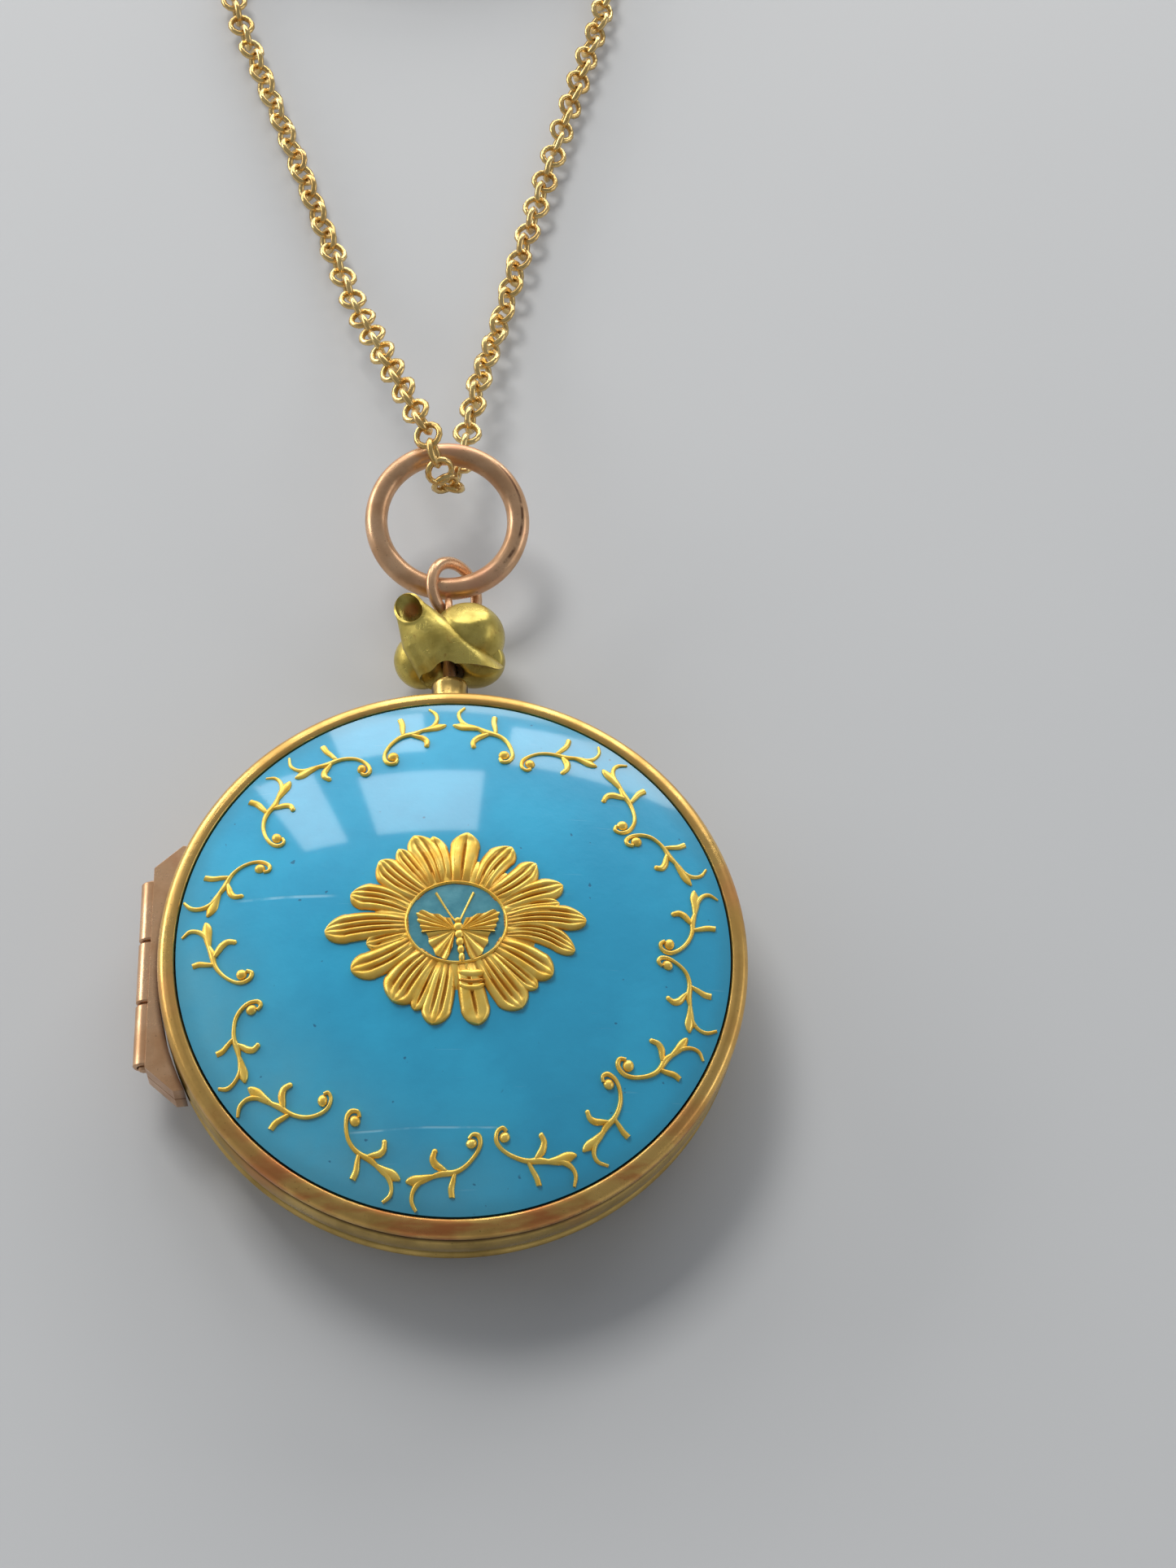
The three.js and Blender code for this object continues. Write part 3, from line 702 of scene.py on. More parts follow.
# %% Helpers for node trees
def new_tree(name, sockets):
    """A Geometry Nodes tree with named inputs, given as name: (socket type, default)."""
    tree = bpy.data.node_groups.new(name, "GeometryNodeTree")
    face = tree.interface
    face.new_socket("Geometry", in_out="OUTPUT", socket_type="NodeSocketGeometry")
    face.new_socket("Geometry", in_out="INPUT", socket_type="NodeSocketGeometry")
    for label, (kind, value) in sockets.items():
        socket = face.new_socket(label, in_out="INPUT", socket_type="NodeSocket" + kind)
        if value is not None:
            socket.default_value = value
    given = tree.nodes.new("NodeGroupInput").outputs
    result = tree.nodes.new("NodeGroupOutput").inputs["Geometry"]
    return tree, given, result


def add(tree, kind, links=None, **settings):
    """Add one node, set what it is, and feed its inputs with links or values."""
    node = tree.nodes.new(kind)
    for key, value in settings.items():
        setattr(node, key, value)
    for key, source in (links or {}).items():
        if isinstance(source, bpy.types.NodeSocket):
            tree.links.new(source, node.inputs[key])
        else:
            node.inputs[key].default_value = source
    return node


def arithmetic(tree, operation, *values):
    """One step of arithmetic in a tree."""
    return add(tree, "ShaderNodeMath", dict(enumerate(values)), operation=operation).outputs[0]


def grown(name, tree, values, source):
    """Run a tree on an object and return the plain mesh that it makes."""
    modifier = source.modifiers.new("grow", "NODES")
    modifier.node_group = tree
    ids = {s.name: s.identifier for s in tree.interface.items_tree if s.in_out == "INPUT"}
    for label, value in values.items():
        modifier[ids[label]] = value
    evaluated = source.evaluated_get(bpy.context.evaluated_depsgraph_get())
    mesh = bpy.data.meshes.new_from_object(evaluated)
    source.modifiers.clear()
    thing = bpy.data.objects.new(name, mesh)
    mesh.name = name
    return thing


# %% [markdown]
# The garland's tree sets a point for each pair, turns each to its place, and copies the pair there.
# The spacing isn't even: it drifts by a few degrees and sways round the rim, as hand spacing does.

# %% Nine pairs round the rim
tree, given, result = new_tree("garland", {
    "Sprig": ("Object", None), "Count": ("Int", 9), "Drift": ("Float", 4.4),
    "Sway": ("Float", 3.5), "Wobble": ("Float", 0.0005), "Finish": ("Material", None)})
spots = add(tree, "GeometryNodeMeshLine", {"Count": given["Count"], "Offset": (0, 0, 0)})
index = add(tree, "GeometryNodeInputIndex").outputs[0]
turn = arithmetic(tree, "DIVIDE", 360.0, given["Count"])
angle = arithmetic(tree, "MULTIPLY", index, turn)
radians = arithmetic(tree, "RADIANS", angle)
lean = arithmetic(tree, "COSINE", radians)
lean = arithmetic(tree, "MULTIPLY", lean, given["Sway"])
lean = arithmetic(tree, "SUBTRACT", given["Drift"], lean)
angle = arithmetic(tree, "ADD", angle, lean)
angle = arithmetic(tree, "RADIANS", angle)
spin = add(tree, "ShaderNodeCombineXYZ", {"Z": angle}).outputs[0]
source = add(tree, "GeometryNodeObjectInfo", {"Object": given["Sprig"]})
pairs = add(tree, "GeometryNodeInstanceOnPoints",
            {"Points": spots.outputs["Mesh"], "Instance": source.outputs["Geometry"],
             "Rotation": spin})
real = add(tree, "GeometryNodeRealizeInstances", {"Geometry": pairs.outputs["Instances"]})
drift = add(tree, "ShaderNodeTexNoise", {"Scale": 380.0, "Detail": 1.0})
offset = add(tree, "ShaderNodeVectorMath", {0: drift.outputs["Color"], 1: (0.5, 0.5, 0.5)},
             operation="SUBTRACT").outputs[0]
offset = add(tree, "ShaderNodeVectorMath", {0: offset, 1: (1, 1, 0.12)},
             operation="MULTIPLY").outputs[0]
offset = add(tree, "ShaderNodeVectorMath", {0: offset, "Scale": given["Wobble"]},
             operation="SCALE")
nudged = add(tree, "GeometryNodeSetPosition",
             {"Geometry": real.outputs[0], "Offset": offset.outputs[0]})
dressed = add(tree, "GeometryNodeSetMaterial",
              {"Geometry": nudged.outputs[0], "Material": given["Finish"]})
tree.links.new(dressed.outputs[0], result)
seed_object = placed("garland_seed", bpy.data.meshes.new("garland_seed"))
garland = grown("garland", tree, {"Sprig": sprig_pair, "Finish": finishes["foil_gold"]},
                seed_object)
bpy.data.objects.remove(seed_object)
bpy.data.objects.remove(sprig_pair)
finished(garland, "foil_gold", "cover", corner=60)

# %% [markdown]
# ## The sunflower
# The flower is gold foil struck from a die: a wreath of long petals of uneven length, each a
# shallow trough with a few lengthwise grooves and a rounded tip. The petals overlap, so they stand
# at slightly different heights. Each is a small closed sheet whose top follows the dome plus the
# relief. A plain grooved collar closes the gaps between their roots.

# %% Petals
CENTRE = (0.0, 0.3)
PETALS = [  # tip x, tip y from the centre, width, grooves, sideways bend, lift
    (0.62, 4.72, 1.50, 1, 0.05, 0.09), (2.72, 3.95, 1.45, 2, 0.22, 0.05),
    (3.85, 3.05, 1.35, 2, -0.15, 0.08), (5.10, 1.95, 1.30, 2, 0.15, 0.04),
    (6.15, 0.15, 1.35, 3, 0.25, 0.08), (5.55, -1.40, 1.25, 3, 0.45, 0.04),
    (4.45, -2.65, 1.50, 2, 0.12, 0.08), (2.98, -4.25, 1.75, 3, -0.05, 0.05),
    (0.96, -5.05, 1.45, 1, 0.00, 0.06), (-1.20, -5.00, 1.50, 2, 0.05, 0.05),
    (-3.00, -3.85, 1.90, 3, -0.15, 0.09), (-4.90, -2.30, 1.50, 2, 0.18, 0.05),
    (-6.15, -0.30, 1.55, 3, -0.15, 0.09), (-4.95, 1.55, 1.50, 3, -0.22, 0.05),
    (-3.60, 3.25, 1.50, 3, 0.15, 0.08), (-1.95, 4.60, 1.50, 2, -0.20, 0.06),
    (-1.05, 4.55, 1.00, 1, -0.12, 0.02), (4.9, 1.0, 1.0, 2, 0.1, 0.0), (-4.2, -1.0, 1.1, 2, 0, 0.0),
    (-2.7, 3.9, 1.0, 2, 0.0, 0.0), (3.7, -3.3, 1.1, 2, 0.0, 0.0), (-2.0, -4.3, 1.0, 1, 0.0, 0.0),
]


def petal(points, faces, low, tip_x, tip_y, wide, grooves, bend, lift, rows=24, columns=25):
    """Add one closed petal: a top grid and the same grid sunk into the enamel."""
    reach = math.hypot(tip_x, tip_y)
    along = np.array([tip_x, tip_y]) / reach
    side = np.array([-along[1], along[0]])
    root = 0.95 / math.hypot(along[0] / 2.35, along[1] / 2.05)
    start = len(points)
    for layer in (1, 0):  # the top, then the underside
        for i in range(rows):
            s = 1 - (1 - i / (rows - 1)) ** 1.5
            girth = 0.58 + 0.42 * math.sin(math.pi / 2 * min(1, s / 0.7))
            if s > 0.72:
                girth *= max(0.0, 1 - ((s - 0.72) / 0.28) ** 2.1) ** 0.6 + 0.04
            run = root + (reach - root) * s
            for j in range(columns):
                t = 2 * j / (columns - 1) - 1
                at = (np.array(CENTRE) + along * run
                      + side * (t * wide * 0.46 * girth + bend * math.sin(math.pi * s)))
                relief = deep = 0.0
                for k in range(grooves):
                    middle = (2 * (k + 1) / (grooves + 1) - 1) * 0.85
                    deep += math.exp(-((t - middle) / 0.12) ** 2) * min(1, 4 * (1 - s))
                deep = max(deep, t ** 8 * 0.8, 1 - s * 4)
                if layer:
                    swell = (1 - t ** 6) * (0.15 + 0.07 * math.sin(math.pi * min(1, s * 1.1)))
                    relief = lift + swell * (1 - 0.85 * min(1, deep)) + 0.05
                    relief += 0.05 * math.exp(-((s - 0.93) / 0.05) ** 2) * (1 - t ** 4)
                points.append((at[0], at[1], dome(*at) + relief - 0.03))
                low.append(min(1.0, deep) * layer)
    faces += closed_sheet(rows, columns, start)


points, faces, low = [], [], []
for row in PETALS:
    petal(points, faces, low, *row)

# %% [markdown]
# The collar is an oval ring of fine radial ribs, and a raised oval wire inside it frames the
# medallion. Below the medallion the foil has been pushed up into a small folded lip.

# %% Collar, frame and lip
start, around = len(points), 180
collar = [(2.38, 2.08, -0.03), (2.38, 2.08, 0.12), (2.9, 2.6, 0.15), (3.6, 3.15, 0.10),
          (3.95, 3.4, -0.03)]
for k in range(around):
    a = 2 * math.pi * k / around
    rib = 0.03 * math.sin(26 * a)
    for across, deep, high in collar:
        x, y = CENTRE[0] + across * math.cos(a), CENTRE[1] + deep * math.sin(a)
        points.append((x, y, dome(x, y) + high + (rib if high > 0 else 0)))
        low.append(0.7 if high > 0 and rib < 0 else 0.0)
faces += grid_faces(around, len(collar), True, True, start)
oval = [(CENTRE[0] + 2.36 * math.cos(a), CENTRE[1] + 2.06 * math.sin(a), 0.2)
        for a in np.linspace(0, 2 * math.pi, 73)]
stroke(points, faces, oval, high=0.24)
low += [0.0] * (len(points) - len(low))
# The last number darkens a fold the way the struck lines are darkened.
for y, sag, wide, high, darkening in ((-2.36, 0.10, 0.46, 0.28, 0.0), (-2.74, 0.12, 0.34, 0.27, 1.0),
                                 (-3.04, 0.22, 0.34, 0.31, 0.0)):
    fold = [(0.06, y + sag, 0.1), (0.34, y + 0.03, wide), (0.66, y, wide), (0.98, y + 0.03, wide),
            (1.24, y + sag, 0.1)]
    stroke(points, faces, smooth_line(fold), high=high, lift=0.09)
    low += [darkening] * (len(points) - len(low))
piece("sunflower_foil", points, faces, "foil_gold", "cover", ["sunflower"], corner=70, low=low)

# %% [markdown]
# ## Medallion and butterfly
# The medallion is a small oval of darker enamel inside the wreath. The butterfly over it is struck
# gold too: two pairs of ribbed wings with scalloped edges, a segmented body, a head and two long
# feelers. Each wing is a fan from its root, with ribs that fade toward the body.

# %% Medallion and butterfly
rows = [(k / 8, 0.16 - 0.05 * (k / 8) ** 2) for k in range(9)] + [(1, -0.03), (0, -0.03)]
points = []
for k in range(72):
    a = 2 * math.pi * k / 72
    for share, high in rows:
        x = CENTRE[0] + 2.33 * share * math.cos(a)
        y = CENTRE[1] + 2.03 * share * math.sin(a)
        points.append((x, y, dome(x, y) + high))
piece("medallion_oval", points, grid_faces(72, len(rows), True, False), "medallion_enamel",
      "cover", ["medallion"])

FORE = [(0.35, 0.12), (1.05, 0.38), (1.9, 0.55), (1.95, 0.2), (1.82, -0.2), (1.72, -0.55)]
HIND = [(1.5, -0.6), (1.42, -1.0), (1.22, -1.45), (0.92, -1.85), (0.55, -1.9), (0.3, -1.35)]


def wing(points, faces, low, side, edge, ribs, lift):
    """Add one wing: a closed fan from the root to a smooth outer edge."""
    outer = smooth_line([(x, y, 0) for x, y in edge], 8)
    root, rings = np.array([0.14, -0.45]), 9
    start = len(points)
    for layer in (1, 0):
        for i, q in enumerate(outer):
            t = i / (len(outer) - 1)
            scallop = 1 - 0.05 * abs(math.sin(math.pi * ribs * t))
            for j in range(rings):
                s = j / (rings - 1)
                x, y = root + (np.array(q[:2]) - root) * s * (scallop if s > 0.6 else 1)
                x, y = CENTRE[0] + 0.08 + side * x, CENTRE[1] + y
                rib = 0.055 * math.cos(2 * math.pi * ribs * t) * min(1, s * 1.6)
                high = lift + 0.08 + rib if layer else lift - 0.12
                points.append((x, y, dome(x, y) + high))
                low.append(layer * max(0.0, -rib / 0.055) * 0.9)
    faces += closed_sheet(len(outer), rings, start)


points, faces, low = [], [], []
for side in (-1, 1):
    wing(points, faces, low, side, HIND, 4, 0.12)
    wing(points, faces, low, side, FORE, 6, 0.17)
for side in (-1, 1):
    feeler = [(0.06 + side * 0.05, 0.2, 0.12), (side * 0.35, 0.75, 0.11),
              (side * 0.88 - 0.05, 1.78, 0.14)]
    stroke(points, faces, smooth_line(feeler), high=0.22, lift=0.1)
for k in range(5):
    bead(points, faces, 0.08 + 0.035 * k, 0.0 - 0.38 * k, 0.24 - 0.022 * k, 0.24, 0.17, 0.19)
bead(points, faces, 0.07, 0.32, 0.17, 0.15, 0.15, 0.2)
low += [0.0] * (len(points) - len(low))
piece("butterfly_gold", points, faces, "foil_gold", "cover", ["butterfly"], corner=60, low=low)

# %% [markdown]
# ## The hinge
# Three knuckles lie end to end on one pin: the middle one belongs to the front, the outer two to the
# back. Each is a short tube, so its outline is a small rectangle turned about the pin. The strips
# that carry them keep their mechanical shape, and a small bevel takes the machine edge off them.

# %% Knuckles, pin and bearers
HINGE = (-14.74, 3.1)  # x and z of the pin's middle line


def shifted(points, x, z):
    """Points moved sideways and up."""
    return [(px + x, py, pz + z) for px, py, pz in points]


def tube_outline(inner, outer, low, high):
    """A tube's cross-section with its outer corners cut."""
    soft = 0.07
    return [(inner, low), (outer - soft, low), (outer, low + soft), (outer, high - soft),
            (outer - soft, high), (inner, high)]


KNUCKLES = {"hinge_knuckle_front": ("cover", -1.55, 1.55),
            "hinge_knuckle_back_a": ("case", 1.67, 4.77),
            "hinge_knuckle_back_b": ("case", -4.77, -1.67)}
for name, (body, low, high) in KNUCKLES.items():
    points, faces = turned(tube_outline(0.37, 0.56, low, high), 48, "Y")
    piece(name + "_tube", shifted(points, *HINGE), faces, "rose_gold", body, [name])
pin = [(0, -4.92), (0.22, -4.92), (0.3, -4.84), (0.3, 4.84), (0.22, 4.92), (0, 4.92)]
points, faces = turned(pin, 32, "Y", closed=False)
piece("hinge_pin_wire", shifted(points, *HINGE), faces, "rose_gold", "case", ["hinge_pin"])
for name in ("hinge_bearer_back", "hinge_bearer_front"):
    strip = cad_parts[name]
    strip.data.materials.clear()
    strip.data.materials.append(finishes["rose_gold"])
    weld = strip.modifiers.new("weld", "WELD")
    weld.merge_threshold = 1e-6
    soft_edge = strip.modifiers.new("soft_edge", "BEVEL")
    soft_edge.width, soft_edge.segments, soft_edge.angle_limit = 0.0002, 3, math.radians(30)
print("hinge pieces:", len(KNUCKLES) + 3)

# %% [markdown]
# ## Neck and post
# The neck is a short turned stub soldered to the back half, dented by wear and splayed at its foot.
# A pin rises from it through the knot and ends in a small upright eye. Both are turned about Y.

# %% Neck and swivel post
POST_Z = 3.1  # height of the post's middle line
neck = [(0, 14.25), (1.3, 14.25), (1.34, 14.42), (1.1, 14.72), (0.97, 15.1), (0.93, 15.6),
        (0.95, 15.95), (0.87, 16.15), (0.55, 16.3), (0.3, 16.24), (0, 16.24)]
points, faces = turned(round_corners(neck, closed=False), 72, "Y", POST_Z, closed=False)
dented = [(x * (1 - 0.05 * math.exp(-((y - 15.5) / 0.25) ** 2)
                * math.sin(5 * math.atan2(z - POST_Z, x))), y, z) for x, y, z in points]
piece("neck_turned", dented, faces, "case_gold", "case", ["pendant_neck"])


def wire_ring(radius, wide, thick, around=96, section=16):
    """A ring of oval wire that lies flat about the origin."""
    points = []
    for i in range(around):
        a = 2 * math.pi * i / around
        for j in range(section):
            b = 2 * math.pi * j / section
            r = radius + wide / 2 * math.cos(b)
            points.append((r * math.cos(a), r * math.sin(a), thick / 2 * math.sin(b)))
    return points, grid_faces(around, section, True, True)


def moved(points, matrix):
    """Points carried through a matrix."""
    return [tuple(matrix @ Vector(q)) for q in points]


EYE_Y = 20.25  # middle of the post's eye
rod = [(0, 16.34), (0.3, 16.34), (0.34, 16.45), (0.34, 19.3), (0.3, 19.45), (0, 19.45)]
points, faces = turned(rod, 40, "Y", POST_Z, closed=False)
ring, ring_faces = wire_ring(0.82, 0.4, 0.4, 48, 12)
stand = Matrix.Translation((0, EYE_Y, POST_Z)) @ Matrix.Rotation(math.radians(90), 4, "Y")
faces += [tuple(k + len(points) for k in f) for f in ring_faces]
points += moved(ring, stand)
piece("post_and_eye", points, faces, "rose_gold", "case", ["swivel_post"])

# %% [markdown]
# ## The knot
# The bead on the post imitates a ribbon knot, rolled from thin greenish gold sheet. A cornet of
# sheet starts as a tight open tube at the upper left and unrolls toward the lower right, where its
# straight free edge lies across a round fold. The cornet is a set of cross-sections along a slanted
# axis: full turns at the mouth that open out to little more than half a turn at the wide end.

# %% Knot: the rolled cornet
KNOT_FOOT = 16.46  # lowest Y of the knot, just clear of the neck
MOUTH, BASE = Vector((-2.1, 19.9, 4.62)), Vector((1.2, 16.6, 2.3))
DOWN = (BASE - MOUTH).normalized()
OUT = Vector((-0.08, -0.45, 0.89))
OUT = (OUT - OUT.dot(DOWN) * DOWN).normalized()
UP = OUT.cross(DOWN).normalized()
if UP.x < 0:
    UP = -UP


def sheet_point(s, across, inset):
    """A point of the sheet: `s` runs from the mouth to the wide end, `across` round the roll."""
    turn = 372 - 165 * min(1.0, max(0.0, s) / 0.45) ** 0.7
    angle = 78 - turn * across
    a = math.radians(angle)
    size = 0.70 + 1.12 * s ** 0.85 + 0.12 * (1 - across) * min(1.0, 4 * across + 0.3)
    size -= 0.22 * s * math.exp(-((angle + 58) / 14) ** 2)
    size += 0.5 * min(1.0, max(0.0, s) / 0.28) * max(0.0, -math.sin(a)) ** 5
    size += 0.05 * math.exp(-(s / 0.03) ** 2) - inset
    slant = 0.72 * math.cos(a) * max(0.0, 1 - s / 0.4) ** 1.5
    raised = 0.42 * min(1.0, s / 0.5) ** 1.3
    return (MOUTH + DOWN * (s * (BASE - MOUTH).length + slant) + OUT * raised
            + (OUT * math.cos(a) + UP * math.sin(a)) * size)


def cornet(rows=48, columns=84, wall=0.13):
    """The sheet as two matching grids, outer and inner, cut level just above the neck."""
    ends = []
    for j in range(columns):
        across = j / (columns - 1)
        end = 0.94 + 0.11 * math.exp(-(across / 0.22) ** 2)
        while sheet_point(end, across, 0).y < KNOT_FOOT + 0.01:
            end -= 0.01
        ends.append(end)
    grid = [tuple(sheet_point(ends[j] * i / (rows - 1), j / (columns - 1), inset))
            for inset in (0.0, wall) for i in range(rows) for j in range(columns)]
    return [(x, max(y, KNOT_FOOT), z) for x, y, z in grid], closed_sheet(rows, columns)


# %% [markdown]
# Three rounded folds fill the knot behind the cornet. Each is a squashed ball; the right one has a
# flat place hammered on its top that catches the light, and the tail at the lower right is pressed
# flat across its front like a turned-down corner. Then the post's bore is cut through every
# shell, and opened at the near end, where the pin goes in.

# %% Knot: the folds and the bore
def ball(at, radii, flat=None, rows=36, columns=64):
    """A squashed ball; `flat` is a direction and how much of the ball to press flat there."""
    points = []
    for i in range(rows):
        a = math.pi * (i / (rows - 1) - 0.5)
        for j in range(columns):
            b = 2 * math.pi * j / columns
            q = Vector((radii[0] * math.cos(a) * math.cos(b), radii[1] * math.cos(a) * math.sin(b),
                        radii[2] * math.sin(a)))
            if flat:
                way = Vector(flat[0]).normalized()
                q -= way * max(0.0, q.dot(way) - flat[1]) * 0.85
            points.append(tuple(q + Vector(at)))
    return points, grid_faces(rows, columns, False, True)


def shell(name, points, faces):
    """A plain closed mesh that is only used while something is being built."""
    mesh = bpy.data.meshes.new(name)
    mesh.from_pydata([tuple(c * MM for c in q) for q in points], [], faces)
    cleaned(mesh, 2e-6)
    return placed(name, mesh)


def carved(thing, cutters):
    """The mesh that is left when the cutters are taken out of a closed shell."""
    for cutter in cutters:
        cut = thing.modifiers.new("cut", "BOOLEAN")
        cut.operation, cut.solver, cut.object = "DIFFERENCE", "EXACT", cutter
    evaluated = thing.evaluated_get(bpy.context.evaluated_depsgraph_get())
    mesh = bpy.data.meshes.new_from_object(evaluated)
    bpy.data.objects.remove(thing)
    return mesh


bore = shell("bore", *turned([(0, 15.5), (0.47, 15.5), (0.47, 21.5), (0, 21.5)], 32, "Y", POST_Z,
                             closed=False))
mouth_of_bore = shell("mouth_of_bore", *ball((-0.08, 16.3, 3.55), (0.9, 0.86, 1.25)))
shells = [shell("sheet", *cornet()),
          shell("right_fold", *ball((1.0, 18.9, 3.15), (1.95, 1.85, 2.0),
                                    ((-0.05, 0.45, 0.9), 1.66))),
          shell("tail_fold", *ball((1.32, 17.76, 2.62), (1.64, 1.28, 1.7),
                                   ((0.3, -0.5, 0.8), 1.12))),
          shell("left_fold", *ball((-1.4, 18.1, 2.2), (1.5, 1.6, 1.3)))]
work = bmesh.new()
for thing in shells:
    mesh = carved(thing, (bore, mouth_of_bore))
    print("shell faces:", len(mesh.polygons))
    work.from_mesh(mesh)
knot_mesh = bpy.data.meshes.new("ribbon_knot")
work.to_mesh(knot_mesh)
work.free()
for thing in (bore, mouth_of_bore):
    bpy.data.objects.remove(thing)
finished(bpy.data.objects.new("ribbon_knot", knot_mesh), "green_gold", "knot", ["knot_bead"], 40)

# %% [markdown]
# ## Jump ring and bail
# Two rings of plain wire. The jump ring is a little flattened and passes through the post's eye and
# round the bail, over it on one side and under it on the other. The bail is heavier round wire, and
# on its right arm a dark line shows where it was soldered shut.

# %% Rings
points, faces = wire_ring(1.6, 0.68, 0.56, 72, 16)
place = (Matrix.Translation((0.05, EYE_Y, POST_Z)) @ Matrix.Rotation(math.radians(-10), 4, "Z")
         @ Matrix.Rotation(math.radians(42), 4, "Y") @ Matrix.Translation((0, 1.6, 0)))
piece("jump_ring_wire", moved(points, place), faces, "rose_gold", "jump", ["jump_ring"])
BAIL_RADIUS, BAIL_WIRE, BAIL_TILT = 3.8, 1.2, math.radians(14.5)
BAIL_Y, BAIL_Z = 22, 3.08  # where the bail's wire meets the jump ring
points, faces = wire_ring(BAIL_RADIUS, BAIL_WIRE, BAIL_WIRE, 128, 24)
place = (Matrix.Translation((0, BAIL_Y, BAIL_Z)) @ Matrix.Rotation(BAIL_TILT, 4, "X")
         @ Matrix.Translation((0, BAIL_RADIUS, 0)))
piece("bail_wire", moved(points, place), faces, "rose_gold", "bail", ["bail_ring"])

# %% [markdown]
# ## The chain's route
# The chain is one loop: it leaves the clasp, lies in a small coil, runs down to the bail, passes
# round the bail's far side and returns the same way. Only the two strands near the bail are in
# view. The route is a list of points, and the coil is two layers of a spiral.

# %% Route of the chain
FLOOR, COIL = 0.92, (-1.1, 83.6)


def turns(start_deg, count, radius_at, level):
    """Turns of the coil: the radius changes in steps, so that neighbours never touch."""
    steps = round(count * 20)
    out = []
    for k in range(steps + 1):
        t = count * k / steps
        a, r = math.radians(start_deg + 360 * t), radius_at(t)
        out.append((COIL[0] + r * math.cos(a), COIL[1] + r * math.sin(a), level(t)))
    return out


def ease(t):
    """A soft start and a soft stop between 0 and 1."""
    t = min(1.0, max(0.0, t))
    return t * t * (3 - 2 * t)


far_y = BAIL_Y + 2 * BAIL_RADIUS * math.cos(BAIL_TILT)
far_z = BAIL_Z + 2 * BAIL_RADIUS * math.sin(BAIL_TILT)
FOLD = 1.68  # radius of the chain's fold over the bail's wire
wrap = []
for k in range(9):
    a = math.radians(75 + 210 * k / 8)
    wrap.append((-1.15 + 1.9 * k / 8, far_y + FOLD * math.cos(a), far_z + FOLD * math.sin(a)))
inner_start = [(-5.15, 83.6, 1.16), (-6.4, 83.0, 1.1), (-7.3, 81.4, 1.0), (-7.4, 79.5, 0.95)]
lower = turns(225, 2.92, lambda t: 8.1 + 1.7 * (t // 1 + ease((t % 1 - 0.7) / 0.3)),
              lambda t: 0.9)
left = [(-11.9, 75.95, FLOOR), (-12.9, 70.8, FLOOR), (-12.7, 66.5, FLOOR), (-11, 60.9, FLOOR),
        (-8.5, 53.3, FLOOR), (-6.5, 47, FLOOR), (-5.1, 42.2, 1.75), (-3.8, 38, 3.5),
        (-2.5, 33.8, 5.3)]
right = [(2, 36.4, 2.3), (3.2, 41, 1.1), (4.3, 45.3, FLOOR), (6.6, 53.4, FLOOR), (9.1, 62, FLOOR),
         (10.4, 66.5, FLOOR), (10.7, 70.8, FLOOR), (9.7, 75.95, FLOOR)]
upper = turns(-22, 2.1, lambda t: 13.2 - 1.7 * (t // 1 + ease(t % 1 / 0.3)),
              lambda t: 0.95 + 1.6 * ease(t * 8))
inner_end = [(6.9, 87.3, 2.5), (5.5, 88.1, 2.3), (4.2, 87.0, 2.0), (3.7, 85.0, 1.5),
             (3.1, 83.6, 1.16)]
route = np.array(smooth_line(inner_start + lower + left + wrap + right + upper + inner_end, 10))

# %% [markdown]
# ## The chain's links
# A trace chain is round wire links, each turned a quarter against the last. Geometry Nodes suit it:
# the route becomes a curve, points are set along it one pitch apart, and the same small link is
# placed on each. The links also lean a little to and fro along the way, as a chain that lies on a
# table does. There are about four hundred of them, so one link has only a few dozen faces.

# %% Links along the route
line = bpy.data.curves.new("chain_route", "CURVE")
line.dimensions = "3D"
spline = line.splines.new("POLY")
spline.points.add(len(route) - 1)
for dot, q in zip(spline.points, route):
    dot.co = (*(q * MM), 1)
route_object = placed("chain_route", line)

tree, given, result = new_tree("trace_chain", {
    "Pitch": ("Float", 0.00105), "Link Radius": ("Float", 0.00069), "Wire": ("Float", 0.000185),
    "Lean": ("Float", 0.6), "Seed": ("Int", 4), "Finish": ("Material", None)})
up_right = add(tree, "GeometryNodeSetCurveNormal", {"Curve": given["Geometry"]}, mode="Z_UP")
dots = add(tree, "GeometryNodeCurveToPoints",
           {"Curve": up_right.outputs[0], "Length": given["Pitch"]}, mode="LENGTH")
hoop = add(tree, "GeometryNodeCurvePrimitiveCircle",
           {"Resolution": 14, "Radius": given["Link Radius"]})
wire = add(tree, "GeometryNodeCurvePrimitiveCircle", {"Resolution": 5, "Radius": given["Wire"]})
link = add(tree, "GeometryNodeCurveToMesh",
           {"Curve": hoop.outputs[0], "Profile Curve": wire.outputs[0]})
upright = add(tree, "GeometryNodeTransform",
              {"Geometry": link.outputs[0], "Rotation": (math.pi / 2, 0, 0),
               "Scale": (0.95, 1.0, 1.03)})
index = add(tree, "GeometryNodeInputIndex").outputs[0]
quarter = arithmetic(tree, "MULTIPLY", index, math.pi / 2)
wave = arithmetic(tree, "MULTIPLY", index, 0.145)
wave = arithmetic(tree, "SINE", wave)
wave = arithmetic(tree, "MULTIPLY", wave, given["Lean"])
jitter = add(tree, "FunctionNodeRandomValue", {"Seed": given["Seed"]}, data_type="FLOAT")
jitter.inputs[2].default_value, jitter.inputs[3].default_value = -0.16, 0.16
roll = arithmetic(tree, "ADD", quarter, wave)
roll = arithmetic(tree, "ADD", roll, jitter.outputs[1])
about = add(tree, "FunctionNodeAxisAngleToRotation", {"Axis": (0, 0, 1), "Angle": roll})
facing = add(tree, "FunctionNodeRotateRotation",
             {"Rotation": dots.outputs["Rotation"], "Rotate By": about.outputs[0]},
             rotation_space="LOCAL")
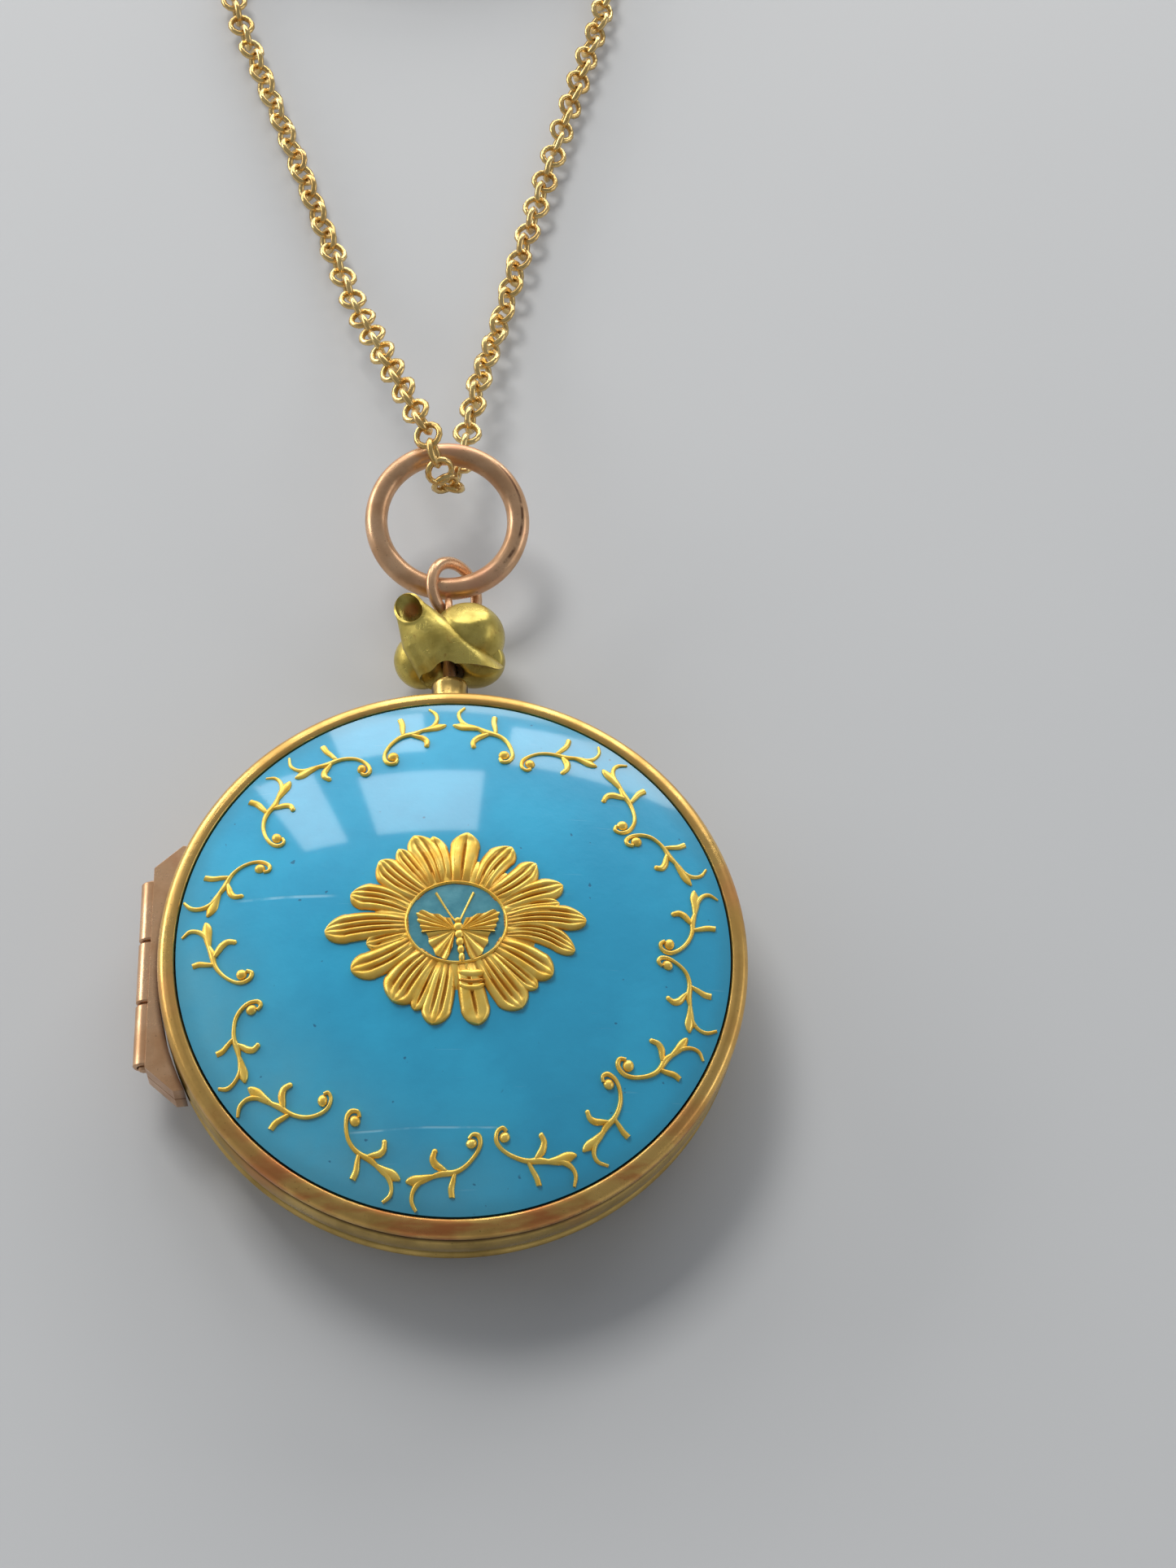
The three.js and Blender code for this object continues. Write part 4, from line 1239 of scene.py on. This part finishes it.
links = add(tree, "GeometryNodeInstanceOnPoints",
            {"Points": dots.outputs["Points"], "Instance": upright.outputs[0],
             "Rotation": facing.outputs[0]})
real = add(tree, "GeometryNodeRealizeInstances", {"Geometry": links.outputs[0]})
smooth = add(tree, "GeometryNodeSetShadeSmooth", {"Geometry": real.outputs[0]})
dressed = add(tree, "GeometryNodeSetMaterial",
              {"Geometry": smooth.outputs[0], "Material": given["Finish"]})
tree.links.new(dressed.outputs[0], result)
chain = grown("trace_chain", tree, {"Finish": finishes["chain_gold"]}, route_object)
bpy.data.objects.remove(route_object)
finished(chain, "chain_gold", "chain", ["chain_strands", "chain_coil"], corner=180)
print("links:", len(chain.data.polygons) // 70)

# %% [markdown]
# ## The clasp
# A bolt ring is a hollow ring with a gap, closed by a curved bolt that a spring pushes out of the
# ring. A thumb piece on the bolt draws it back. Both are round sections carried along an arc.

# %% Clasp and end rings
def arc_tube(radius, start_deg, end_deg, thick, steps=48, section=16):
    """A round bar bent along an arc, with softened ends."""
    points = []
    for i in range(steps + 1):
        a = math.radians(start_deg + (end_deg - start_deg) * i / steps)
        taper = min(1.0, 0.75 + 0.25 * min(i, steps - i) / 2)
        for j in range(section):
            b = 2 * math.pi * j / section
            r = radius + thick * taper * math.cos(b)
            points.append((r * math.cos(a), r * math.sin(a), thick * taper * math.sin(b)))
    faces = grid_faces(steps + 1, section, False, True)
    faces += [tuple(range(section)), tuple(range(steps * section, (steps + 1) * section))]
    return points, faces


def joined(*parts):
    """Several lists of points and faces as one."""
    points, faces = [], []
    for part_points, part_faces in parts:
        faces += [tuple(k + len(points) for k in f) for f in part_faces]
        points += list(part_points)
    return points, faces


CLASP_Y, CLASP_Z = 83.6, 1.16
CLASP = Matrix.Translation((-0.5, CLASP_Y, CLASP_Z))
loop_points, loop_faces = wire_ring(0.64, 0.34, 0.34, 32, 10)
loop = (moved(loop_points, Matrix.Translation((-3.17, 0, 0))), loop_faces)
points, faces = joined(arc_tube(2.15, 35, 325, 0.6), loop, arc_tube(2.15, 36.5, 39.5, 0.66, 6))
on_chain = [piece("bolt_ring_body", moved(points, CLASP), faces, "chain_gold", "chain",
                  ["clasp_ring"])]
thumb_points, thumb_faces = turned([(0, 2.2), (0.15, 2.2), (0.15, 3.0), (0.2, 3.1), (0.1, 3.2),
                                    (0, 3.2)], 20, "Y", closed=False)
thumb = (moved(thumb_points, Matrix.Rotation(math.radians(-45), 4, "Z")), thumb_faces)
points, faces = joined(arc_tube(2.15, -32, 45, 0.33, 20, 12), thumb)
on_chain.append(piece("bolt_and_thumb", moved(points, CLASP), faces, "chain_gold", "bolt",
                      ["clasp_bolt"]))
for name, x, size, wire in (("end_ring_fixed", -4.41, 0.74, 0.34),
                            ("end_ring_catch", 1.95, 0.95, 0.36)):
    points, faces = wire_ring(size, wire, wire, 40, 10)
    stand = Matrix.Translation((x, CLASP_Y, CLASP_Z)) @ Matrix.Rotation(math.radians(90), 4, "X")
    on_chain.append(piece(name + "_wire", moved(points, stand), faces, "chain_gold", "chain",
                          [name]))
